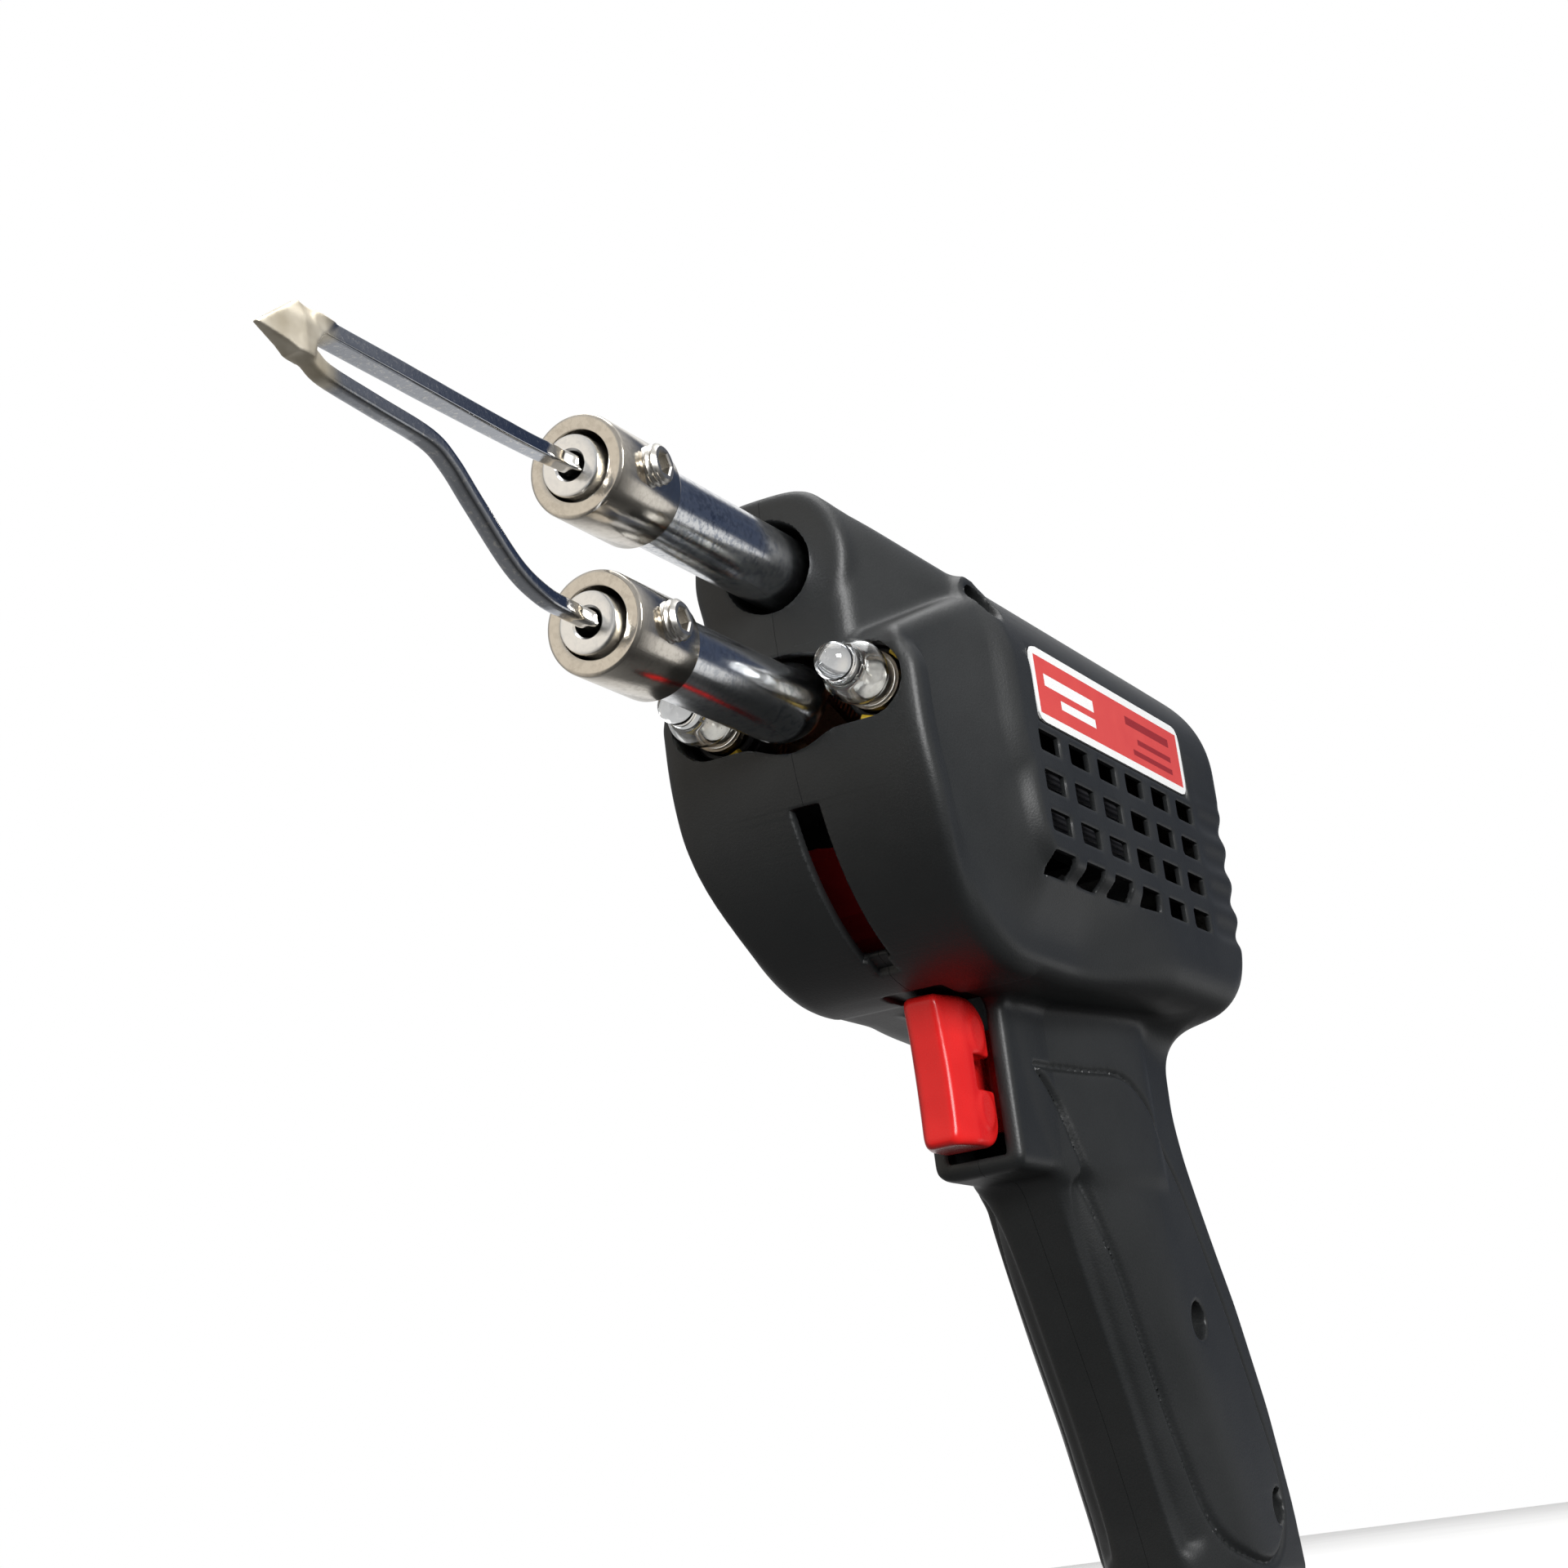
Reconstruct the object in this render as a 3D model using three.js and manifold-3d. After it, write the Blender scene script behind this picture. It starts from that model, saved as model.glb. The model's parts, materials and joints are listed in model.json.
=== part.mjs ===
// Pistol-grip transformer soldering gun, in millimetres, +Z up.
// The tip points along +X, the gun's left side is +Y, and the handle's base stands on Z = 0.
// Inside the gun group, x = 0 is the nose boss's front face and z = 0 is the upper barrel's axis.
import * as THREE from 'three';
import { mergeVertices } from 'three/addons/utils/BufferGeometryUtils.js';
import Module from 'manifold-3d';

const wasm = await Module();
wasm.setup();

// ---- driving dimensions ----------------------------------------------------------------------

const GAP = 0.3;                    // clearance between touching pieces
const WALL = 2.4;                   // housing wall
const BASE_DROP = 170;              // upper barrel axis down to the handle's base
const CENTRE_SHIFT = 10.51;         // moves the middle of the overall length to x = 0

const HEAD = {
  rear: -138, roof: 12.5, floor: -67, rearRadius: 25, topRadius: 12, cornerRadius: 12,
  bellyX: -40, bellyZ: -27, noseHalf: 23.5, noseEnd: -6, flareX: -34, half: 29,
  roofSlope: 0.96, roofReach: 19.8, roofEase: 5, shoulderEase: 6,
};
const CHEEK = { back: -26, frontZ: -16.5, backZ: -4, frontY: 13.5, backY: 22 };
const BOSS = { radius: 14.2, faceRadius: 12.4, length: 20, bore: 7.8 };
const LIP = { front: -51, rear: -112, top: -60, bottom: -95.5, cornerRadius: 3 };
const HANDLE_STATIONS = [           // height, front x, rear x, half-width
  { z: -60, front: -51, rear: -126, half: 15.4 },
  { z: -80, front: -51, rear: -120.5, half: 15.4 },
  { z: -91, front: -58, rear: -122.5, half: 15.5 },
  { z: -99, front: -70, rear: -127, half: 15.6 },
  { z: -117, front: -80.5, rear: -136.5, half: 15.8 },
  { z: -138, front: -92, rear: -146.5, half: 16 },
  { z: -156, front: -100, rear: -152, half: 16.4 },
  { z: -BASE_DROP, front: -106, rear: -154, half: 17 },
];
const GRIP = { nose: 7.8, noseRadius: 3.5, flare: 27, shoulder: 4, shoulderRise: 0.5, rearRound: 16 };

const BARREL = { radius: 6.35, wall: 1.6, spacing: 24.2, rear: -14, stubX: 45.6, stubEnd: 59.5 };
const BARREL_STUB_RADIUS = 4.8;
const ELBOW = { start: 4, radius: 14, sweep: Math.PI * 0.18 };
const COLLAR = { radius: 8, length: 17, front: 58.7, bore: 5.5, shoulder: 45.9, chamfer: 0.6 };
const SET_SCREW = { radius: 3.17, x: 50.2, inner: 1.9, outer: 10.1, socket: 1.85, socketDepth: 3.5 };

const WIRE = 3.1;                   // side of the tip's square wire
const LEG_END = 46;                 // how far back the tip's legs reach
const UPPER_LEG = [[LEG_END, 0], [58.7, -0.2], [73, -1.4], [96, -1.2], [119, -0.5]];
const LOWER_LEG = [
  [LEG_END, -24.2], [58.7, -24.2], [70, -23.4], [78, -21.4], [86, -16], [92.5, -9.4],
  [99, -7.4], [110, -6.8], [123, -5.9],
];
const TIP_HEAD = [
  [118, 1.05], [123.6, 2.6], [125.1, 1.8], [133.2, -3.7], [127.4, -5.5], [120.5, -7.5], [120.5, -4.3],
];

const LAMP = { y: 14.2, z: -22.3, lensX: 9.6, lensRadius: 3.4, bulbRadius: 5.2, glassBack: -3 };
const LAMP_BASE = { radius: 4.7, length: 9.5 };
const LAMP_HOLDER = { radius: 6, length: 10 };
const LAMP_OPENING = { half: 20.6, top: -17, bottom: -29, bulge: 8, bulgeZ: -23.5, depth: 12 };

const COIL = { x: -42, z: -35, outer: 24.4, inner: 15.8, width: 26 };
const BOBBIN = { bore: 10.4, flange: 1.4 };
const TURN = { thickness: 1.6, width: 18, gapFrom: 0.42, gapTo: 1.02 };
const TAPE = { thickness: 0.8, width: 20 };
const CORE = { leg: 14, stack: 14, rearLeg: -82, yoke: 7, half: 23.5 };

const SLOT = { width: 5, topZ: -40, bottomZ: -66, frontX: 6, topX: -10, rearX: -24, rearZ: -56, corner: 2 };
const TRIGGER = {
  front: -36, back: -60.5, top: -66.9, bottom: -92.6, bladeHalf: 4, cheekHalf: 5.2, cheekFront: -44,
  notchTop: -77, notchBottom: -84, stopHalf: 5.9, stopFront: -57.9, bow: 1.2,
};
const TRIGGER_STEM = { radius: 3.2, end: -62.5 };
const SWITCH = { front: -72, rear: -95, top: -73, bottom: -90, half: 8.2, bore: 2.9, boreDepth: 13 };
const PLUNGER = { radius: 2.5, length: 14 };
const SPRING = { radius: 4.6, wire: 0.7, turns: 5 };
const TRIGGER_AXIS_Z = -81;

const LABEL = {
  front: -36.7, rear: -110, top: -11.5, bottom: -25.6, corner: 3, thickness: 0.4, recess: 0.7,
};
const VENT = {
  columns: 6, rows: 4, firstX: -39.4, pitchX: -13.24, firstZ: -29.4, pitchZ: -7, length: 9.5, height: 3.5,
};

const SCREW = { shank: 1.5, pilot: 1.85, head: 2.9, recess: 3.5, pillar: 4.2, headHeight: 1.9, reach: 9 };
const HOUSING_SCREWS = [            // one through the shoulder and two through the handle
  { name: 'housing_screw_shoulder', x: -30, z: -5.2, seat: 18.5 },
  { name: 'housing_screw_handle', x: -107, z: -122, seat: 11.5 },
  { name: 'housing_screw_base', x: -134, z: -156, seat: 11.5 },
];

const BUSH = { x: -129, outer: 7, bore: 4.2, flange: 9.4, height: 9, flangeZ: 3.2, flangeHeight: 2 };
const CLAMP = {
  x: -117, z: -147, length: 15, height: 5, depth: 3,
  screwSpread: 5, screwRadius: 1.3, screwLength: 6, headRadius: 2.34, headHeight: 1.4,
};
const LEAD_RADIUS = 0.9;

const X_AXIS = new THREE.Vector3(1, 0, 0);
const Y_AXIS = new THREE.Vector3(0, 1, 0);
const Z_AXIS = new THREE.Vector3(0, 0, 1);
const SIDE_VIEW = new THREE.Matrix4().makeBasis(X_AXIS, Z_AXIS, Y_AXIS.clone().negate());
const FRONT_VIEW = new THREE.Matrix4().makeBasis(Y_AXIS, Z_AXIS, X_AXIS);

// ---- solid helpers ---------------------------------------------------------------------------

// Signed volume of an indexed triangle mesh; it is negative when the faces point inwards.
function signedVolume(positions, triangles) {
  const corner = [new THREE.Vector3(), new THREE.Vector3(), new THREE.Vector3()];
  let sum = 0;
  for (let i = 0; i < triangles.length; i += 3) {
    corner.forEach((v, k) => v.fromArray(positions, triangles[i + k] * 3));
    sum += corner[0].dot(corner[1].cross(corner[2])) / 6;
  }
  return sum;
}

// Turns a three.js geometry into a solid that can be joined and cut.
function solid(geometry) {
  const bare = geometry.index ? geometry.toNonIndexed() : geometry.clone();
  bare.deleteAttribute('normal');
  bare.deleteAttribute('uv');
  const merged = mergeVertices(bare, 1e-4);
  const positions = new Float32Array(merged.attributes.position.array);
  const triangles = [];
  const index = merged.index.array;
  for (let i = 0; i < index.length; i += 3) {
    const [a, b, c] = [index[i], index[i + 1], index[i + 2]];
    if (a !== b && b !== c && c !== a) triangles.push(a, b, c);
  }
  if (signedVolume(positions, triangles) < 0) triangles.reverse();
  const triVerts = new Uint32Array(triangles);
  return new wasm.Manifold(new wasm.Mesh({ numProp: 3, vertProperties: positions, triVerts }));
}

function toGeometry(body) {
  const mesh = body.getMesh();
  const geometry = new THREE.BufferGeometry();
  geometry.setAttribute('position', new THREE.BufferAttribute(mesh.vertProperties, 3));
  geometry.setIndex(new THREE.BufferAttribute(mesh.triVerts, 1));
  geometry.computeVertexNormals();
  return geometry;
}

function join(bodies) {
  return bodies.reduce((sum, body) => sum.add(body));
}

// Box between two corners.
function box(low, high) {
  const size = high.map((value, k) => value - low[k]);
  const middle = high.map((value, k) => (value + low[k]) / 2);
  return solid(new THREE.BoxGeometry(...size).translate(...middle));
}

// A flat outline pulled along its normal, centred on its own plane.
function pull(shape, depth, view, curveSegments = 3) {
  const geometry = new THREE.ExtrudeGeometry(shape, { depth, bevelEnabled: false, curveSegments });
  return solid(geometry.translate(0, 0, -depth / 2).applyMatrix4(view));
}

// Polygon whose corners are eased by the radius given with each point.
function easedShape(points) {
  const shape = new THREE.Shape();
  const count = points.length;
  points.forEach(([x, y, radius = 0], i) => {
    const corner = new THREE.Vector2(x, y);
    const before = new THREE.Vector2(...points[(i + count - 1) % count]);
    const after = new THREE.Vector2(...points[(i + 1) % count]);
    const start = corner.clone().add(before.sub(corner).setLength(radius));
    const end = corner.clone().add(after.sub(corner).setLength(radius));
    if (i === 0) shape.moveTo(start.x, start.y);
    else shape.lineTo(start.x, start.y);
    if (radius > 0) shape.quadraticCurveTo(x, y, end.x, end.y);
  });
  shape.closePath();
  return shape;
}

// Turned solid about an axis; the profile's points are [radius, distance along the axis].
function turned(profile, axis = X_AXIS, sides = 24) {
  const points = profile.map(([radius, along]) => new THREE.Vector2(radius, along));
  const geometry = new THREE.LatheGeometry(points, sides);
  geometry.applyQuaternion(new THREE.Quaternion().setFromUnitVectors(Y_AXIS, axis));
  return solid(geometry);
}

// Turned ring or tube: a rectangle between two radii, from one place on the axis to another.
function tube(inner, outer, from, to, axis = X_AXIS, sides = 24) {
  return turned([[inner, from], [outer, from], [outer, to], [inner, to], [inner, from]], axis, sides);
}

function rod(radius, from, to, axis = X_AXIS, sides = 16) {
  return turned([[0, from], [radius, from], [radius, to], [0, to]], axis, sides);
}

// Round bar along a curve.
function bar(curve, radius, steps, sides = 8) {
  const circle = new THREE.EllipseCurve(0, 0, radius, radius).getPoints(sides);
  const section = new THREE.Shape(circle.slice(0, sides));
  return solid(new THREE.ExtrudeGeometry(section, { steps, bevelEnabled: false, extrudePath: curve }));
}

// Flat ribbon outline of constant width along a planar curve.
function ribbonShape(curve, width, steps) {
  const sides = [[], []];
  for (let i = 0; i <= steps; i += 1) {
    const middle = curve.getPoint(i / steps);
    const along = curve.getTangent(i / steps);
    const across = new THREE.Vector2(-along.y, along.x).multiplyScalar(width / 2);
    sides[0].push(middle.clone().add(across));
    sides[1].push(middle.clone().sub(across));
  }
  return new THREE.Shape([...sides[0], ...sides[1].reverse()]);
}

// ---- housing ---------------------------------------------------------------------------------

// Side outline of the head, drawn in from the outer surface by inset.
function headSideShape(inset) {
  const shape = new THREE.Shape();
  const belly = -HEAD.bellyX - inset;
  const rearRadius = HEAD.rearRadius - inset;
  const topRadius = HEAD.topRadius - inset;
  shape.moveTo(-inset, HEAD.roof - inset);
  shape.lineTo(-inset, HEAD.bellyZ);
  shape.absarc(HEAD.bellyX, HEAD.bellyZ, belly, 0, -Math.PI / 2, true);
  const [lowX, lowZ] = [HEAD.rear + HEAD.rearRadius, HEAD.floor + HEAD.rearRadius];
  shape.absarc(lowX, lowZ, rearRadius, -Math.PI / 2, -Math.PI, true);
  const [highX, highZ] = [HEAD.rear + HEAD.topRadius, HEAD.roof - HEAD.topRadius];
  shape.absarc(highX, highZ, topRadius, Math.PI, Math.PI / 2, true);
  shape.closePath();
  return shape;
}

// Cross-section of the head: flat roof, sloping shoulders and upright sides.
function headSectionShape(inset) {
  const reach = HEAD.roofReach - inset * Math.hypot(1, HEAD.roofSlope);
  const top = HEAD.roof - inset;
  const side = HEAD.half - inset;
  const low = HEAD.floor - 10;
  const roofEdge = (reach - top) / HEAD.roofSlope;
  const shoulder = reach - HEAD.roofSlope * side;
  const { roofEase, shoulderEase } = HEAD;
  return easedShape([
    [roofEdge, top, roofEase], [side, shoulder, shoulderEase], [side, low],
    [-side, low], [-side, shoulder, shoulderEase], [-roofEdge, top, roofEase],
  ]);
}

// Plan of the head: a narrow nose that flares to the full width, with rounded rear corners.
function headPlanShape(inset) {
  const nose = HEAD.noseHalf - inset;
  const side = HEAD.half - inset;
  const corner = HEAD.cornerRadius - inset;
  const cornerX = HEAD.rear + HEAD.cornerRadius;
  const cornerY = HEAD.half - HEAD.cornerRadius;
  const bendX = (HEAD.noseEnd + HEAD.flareX) / 2;
  const shape = new THREE.Shape();
  shape.moveTo(-inset, -nose);
  shape.lineTo(-inset, nose);
  shape.lineTo(HEAD.noseEnd, nose);
  shape.quadraticCurveTo(bendX, nose + 1, HEAD.flareX, side);
  shape.absarc(cornerX, cornerY, corner, Math.PI / 2, Math.PI, false);
  shape.absarc(cornerX, -cornerY, corner, Math.PI, Math.PI * 1.5, false);
  shape.lineTo(HEAD.flareX, -side);
  shape.quadraticCurveTo(bendX, -nose - 1, HEAD.noseEnd, -nose);
  shape.closePath();
  return shape;
}

// The hollow above each lamp, between the round boss and the shoulder.
function cheek(side, grow) {
  const tall = 30;
  const wide = 60;
  const front = 2;
  const back = CHEEK.back - grow;
  const profile = new THREE.Shape([
    new THREE.Vector2(front, CHEEK.frontZ - grow), new THREE.Vector2(back, CHEEK.backZ - grow),
    new THREE.Vector2(back, tall), new THREE.Vector2(front, tall),
  ]);
  const plan = new THREE.Shape([
    new THREE.Vector2(front, side * (CHEEK.frontY - grow)), new THREE.Vector2(front, side * wide),
    new THREE.Vector2(back, side * wide), new THREE.Vector2(back, side * (CHEEK.backY - grow)),
  ]);
  return pull(profile, 2 * wide, SIDE_VIEW).intersect(pull(plan, 2 * wide, new THREE.Matrix4()));
}

function head(inset) {
  const length = 400;
  const block = pull(headSideShape(inset), length, SIDE_VIEW, 9)
    .intersect(pull(headSectionShape(inset), length, FRONT_VIEW))
    .intersect(pull(headPlanShape(inset), length, new THREE.Matrix4(), 5));
  return block.subtract(cheek(1, inset)).subtract(cheek(-1, inset));
}

// Straight-fronted block under the belly that holds the trigger, ending in a lip.
function triggerBlock(inset) {
  const front = LIP.front - inset;
  const bottom = LIP.bottom + inset;
  const profile = easedShape([
    [front, LIP.top], [front, bottom, LIP.cornerRadius], [LIP.rear, bottom], [LIP.rear, LIP.top],
  ]);
  const station = { ...HANDLE_STATIONS[0], rear: LIP.rear };
  const rings = [LIP.top, LIP.bottom - 10].map((z) => gripRing({ ...station, z }, inset));
  return pull(profile, 2 * station.half, SIDE_VIEW).intersect(loft(rings));
}

// One level cross-section of the grip: narrow rounded nose, flared flanks and a rounded rear.
function gripRing({ z, front, rear, half }, inset) {
  const { nose, noseRadius, flare, shoulder, shoulderRise, rearRound } = GRIP;
  const radius = noseRadius - inset / 2;
  const noseX = front - inset - radius;
  const noseY = nose - inset - radius;
  const wide = half - inset;
  const side = [];
  [0, 0.5, 1, 1.35].forEach((angle) => {
    side.push([noseX + radius * Math.cos(angle), noseY + radius * Math.sin(angle)]);
  });
  side.push([front - flare, wide - shoulderRise], [front - flare - shoulder, wide]);
  const rearX = rear + rearRound;
  const rearSteps = 6;
  for (let i = 0; i < rearSteps; i += 1) {
    const angle = (i / rearSteps) * (Math.PI / 2);
    side.push([rearX - (rearRound - inset) * Math.sin(angle), wide * Math.cos(angle)]);
  }
  const mirrored = side.map(([x, y]) => [x, -y]).reverse();
  return [...side, [rear + inset, 0], ...mirrored].map(([x, y]) => [x, y, z]);
}

// Closed skin over a stack of rings with equal point counts.
function loft(rings) {
  const sides = rings[0].length;
  const positions = rings.flat(2);
  const triangles = [];
  for (let r = 0; r + 1 < rings.length; r += 1) {
    for (let i = 0; i < sides; i += 1) {
      const [a, b] = [r * sides + i, r * sides + ((i + 1) % sides)];
      triangles.push(a, b, a + sides, b, b + sides, a + sides);
    }
  }
  const last = (rings.length - 1) * sides;
  for (let i = 1; i + 1 < sides; i += 1) {
    triangles.push(0, i + 1, i);
    triangles.push(last, last + i, last + i + 1);
  }
  const geometry = new THREE.BufferGeometry();
  geometry.setAttribute('position', new THREE.Float32BufferAttribute(positions, 3));
  geometry.setIndex(triangles);
  return solid(geometry);
}

function handle(inset) {
  const last = HANDLE_STATIONS.length - 1;
  const rings = HANDLE_STATIONS.map((station, i) => {
    const lifted = i === last ? { ...station, z: station.z + inset } : station;
    return gripRing(lifted, inset);
  });
  return loft(rings);
}

function boss() {
  return turned([
    [0, -BOSS.length], [BOSS.radius - 1, -BOSS.length], [BOSS.radius, -BOSS.length + 6],
    [BOSS.radius, -1.8], [BOSS.radius - 0.5, -0.5], [BOSS.faceRadius, 0], [0, 0],
  ], X_AXIS, 32);
}

// The wide opening in the nose that holds both lamps and the lower barrel.
function lampOpening() {
  const { half, top, bottom, bulge, bulgeZ, depth } = LAMP_OPENING;
  const round = (top - bottom) / 2;
  const slot = easedShape([
    [half, top, round], [half, bottom, round], [-half, bottom, round], [-half, top, round],
  ]);
  const wide = pull(slot, depth, FRONT_VIEW).translate(1 - depth / 2, 0, 0);
  const middle = rod(bulge, 1 - depth, 1).translate(0, 0, bulgeZ);
  return wide.add(middle);
}

// Slot down the middle of the belly, following its curve.
function bellySlot() {
  const { width, topZ, bottomZ, frontX, topX, rearX, rearZ, corner } = SLOT;
  const outline = easedShape([
    [frontX, topZ], [frontX, bottomZ], [rearX, bottomZ], [rearX, rearZ, corner], [topX, topZ, corner],
  ]);
  return pull(outline, width, SIDE_VIEW);
}

function vents() {
  const holes = [];
  for (let row = 0; row < VENT.rows; row += 1) {
    for (let column = 0; column < VENT.columns; column += 1) {
      const x = VENT.firstX + column * VENT.pitchX;
      const z = VENT.firstZ + row * VENT.pitchZ;
      const low = [x - VENT.length / 2, -HEAD.half - 1, z - VENT.height / 2];
      holes.push(box(low, [x + VENT.length / 2, HEAD.half + 1, z + VENT.height / 2]));
    }
  }
  return join(holes);
}

function labelShape(shrink) {
  const [x1, x2] = [LABEL.rear + shrink, LABEL.front - shrink];
  const [z1, z2] = [LABEL.bottom + shrink, LABEL.top - shrink];
  const r = LABEL.corner;
  return easedShape([[x1, z1, r], [x2, z1, r], [x2, z2, r], [x1, z2, r]]);
}

function labelRecesses() {
  const recess = pull(labelShape(0), 2, SIDE_VIEW);
  const offset = HEAD.half - LABEL.recess + 1;
  return recess.translate(0, offset, 0).add(recess.translate(0, -offset, 0));
}

// Pillars that the housing screws run in, from wall to wall.
function screwPillars() {
  const pillar = rod(SCREW.pillar, -HEAD.half, HEAD.half, Y_AXIS);
  return join(HOUSING_SCREWS.map(({ x, z }) => pillar.translate(x, 0, z)));
}

// Everything that a housing screw needs cut away: head recess, shank hole and pilot.
function screwHoles() {
  return join(HOUSING_SCREWS.map(({ x, z, seat }) => {
    const pilot = rod(SCREW.pilot, -SCREW.reach - 1, seat, Y_AXIS);
    const recess = rod(SCREW.recess, seat - SCREW.headHeight - GAP, HEAD.half + 2, Y_AXIS);
    return pilot.add(recess).translate(x, 0, z);
  }));
}

function triggerOpening() {
  const half = TRIGGER.cheekHalf + 0.4;
  const [low, high] = [TRIGGER.bottom - 0.6, TRIGGER.top + 0.8];
  return box([LIP.front - WALL - 4, -half, low], [TRIGGER.front + 2, half, high]);
}

function cordInlet() {
  const low = -BASE_DROP - 1;
  const through = rod(BUSH.outer + GAP, low, -BASE_DROP + BUSH.height + 2, Z_AXIS);
  const grooveZ = -BASE_DROP + BUSH.flangeZ;
  const groove = rod(BUSH.flange + GAP, grooveZ - GAP, grooveZ + BUSH.flangeHeight + GAP, Z_AXIS);
  return through.add(groove).translate(BUSH.x, 0, 0);
}

// Thick floor inside the handle's base that grips the cord bush.
function inletCollar() {
  const top = -BASE_DROP + BUSH.flangeZ + BUSH.flangeHeight + 3;
  return rod(BUSH.flange + 3, -BASE_DROP + 1, top, Z_AXIS).translate(BUSH.x, 0, 0);
}

function housing() {
  const outer = join([head(0), boss(), triggerBlock(0), handle(0)]);
  const hollow = join([head(WALL), triggerBlock(WALL), handle(WALL)]);
  const fittings = join([screwPillars(), inletCollar()]).intersect(outer);
  const bossBore = rod(BOSS.bore, -BOSS.length - 2, 1, X_AXIS, 28);
  const bossWall = rod(BOSS.radius - 1.5, -WALL - 3, -1, X_AXIS, 28);
  return outer.subtract(hollow).add(fittings).add(bossWall)
    .subtract(bossBore).subtract(lampOpening()).subtract(bellySlot()).subtract(vents())
    .subtract(labelRecesses()).subtract(screwHoles()).subtract(triggerOpening()).subtract(cordInlet());
}

function housingHalf(whole, side) {
  const far = 300;
  const seam = (side * GAP) / 2;
  const [low, high] = side > 0 ? [seam, far] : [-far, seam];
  return whole.intersect(box([-far, low, -far], [far, high, far]));
}

// ---- barrels, collars and tip ----------------------------------------------------------------

// Stub end of a barrel inside its collar, drilled for the tip and for the set screw.
function barrelStub() {
  const hole = WIRE * Math.SQRT1_2 + GAP;
  const stub = tube(hole, BARREL_STUB_RADIUS, BARREL.stubX - 2, BARREL.stubEnd);
  const cross = rod(SET_SCREW.radius + GAP, 0, COLLAR.radius, Y_AXIS).translate(SET_SCREW.x, 0, 0);
  return stub.subtract(cross);
}

function upperBarrel() {
  const { radius, wall, rear, stubX } = BARREL;
  const pipe = tube(radius - wall, radius, rear, stubX);
  const neck = tube(WIRE * Math.SQRT1_2 + GAP, radius, stubX - 2, stubX);
  return join([pipe, neck, barrelStub()]);
}

// The lower barrel's elbow turns up and back behind the nose opening.
function elbowCurve() {
  const points = [];
  const steps = 8;
  for (let i = 0; i <= steps; i += 1) {
    const angle = (ELBOW.sweep * i) / steps;
    const x = ELBOW.start - ELBOW.radius * Math.sin(angle);
    points.push(new THREE.Vector3(x, 0, ELBOW.radius * (1 - Math.cos(angle))));
  }
  return new THREE.CatmullRomCurve3(points);
}

function lowerBarrel() {
  const { radius, wall, stubX } = BARREL;
  const pipe = tube(radius - wall, radius, ELBOW.start, stubX);
  const neck = tube(WIRE * Math.SQRT1_2 + GAP, radius, stubX - 2, stubX);
  const elbow = bar(elbowCurve(), radius, 5, 24);
  return join([pipe, neck, barrelStub(), elbow]);
}

function collar() {
  const { radius, length, front, bore, shoulder, chamfer } = COLLAR;
  const rear = front - length;
  const socket = BARREL.radius + GAP;
  const ring = turned([
    [socket, rear], [radius - chamfer, rear], [radius, rear + chamfer], [radius, front - chamfer],
    [radius - chamfer, front], [bore, front], [bore, shoulder], [socket, shoulder], [socket, rear],
  ], X_AXIS, 28);
  const threaded = rod(SET_SCREW.radius + GAP, 2, radius + 2, Y_AXIS, 24).translate(SET_SCREW.x, 0, 0);
  return ring.subtract(threaded);
}

function setScrew() {
  const { radius, inner, outer, socket, socketDepth } = SET_SCREW;
  const body = turned([
    [0, inner], [radius - 0.7, inner], [radius, inner + 0.7], [radius, outer - 0.5],
    [radius - 0.5, outer], [0, outer],
  ], Y_AXIS, 24);
  return body.subtract(rod(socket, outer - socketDepth, outer + 1, Y_AXIS, 6));
}

// Square-wire loop with a wedge head: the upper leg is straight and the lower leg has a double bend.
function tip() {
  const legs = [[UPPER_LEG, 16], [LOWER_LEG, 32]].map(([points, steps]) => {
    const curve = new THREE.SplineCurve(points.map(([x, z]) => new THREE.Vector2(x, z)));
    return pull(ribbonShape(curve, WIRE, steps), WIRE, SIDE_VIEW);
  });
  const wedge = pull(easedShape(TIP_HEAD.map(([x, z]) => [x, z, 0.5])), WIRE + 0.6, SIDE_VIEW, 3);
  return join([...legs, wedge]);
}

// ---- lamps -----------------------------------------------------------------------------------

function lampGlass() {
  const { lensX, lensRadius, bulbRadius, glassBack } = LAMP;
  const profile = [
    [0, glassBack], [4.2, glassBack], [bulbRadius, 1], [bulbRadius, 4.6], [4.1, 6.6], [3.1, 7.6],
  ];
  const arcSteps = 5;
  for (let i = 0; i <= arcSteps; i += 1) {
    const angle = -0.35 + (i / arcSteps) * (Math.PI / 2 + 0.35);
    profile.push([lensRadius * Math.cos(angle), lensX + lensRadius * Math.sin(angle)]);
  }
  profile[profile.length - 1][0] = 0;
  return turned(profile, X_AXIS, 24);
}

function lampBase() {
  const back = LAMP.glassBack - GAP;
  return rod(LAMP_BASE.radius, back - LAMP_BASE.length, back, X_AXIS);
}

function lampHolder() {
  const back = LAMP.glassBack - GAP - LAMP_BASE.length;
  const cup = rod(LAMP_HOLDER.radius, back - 3, back - 3 + LAMP_HOLDER.length, X_AXIS, 24);
  return cup.subtract(rod(LAMP_BASE.radius + GAP, back - GAP, back + LAMP_HOLDER.length, X_AXIS));
}

// ---- transformer -----------------------------------------------------------------------------

// Places a turned piece whose axis runs across the gun at the coil's centre.
function atCoil(body) {
  return body.translate(COIL.x, 0, COIL.z);
}

function primaryCoil() {
  return atCoil(tube(COIL.inner, COIL.outer, -COIL.width / 2, COIL.width / 2, Y_AXIS, 32));
}

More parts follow.
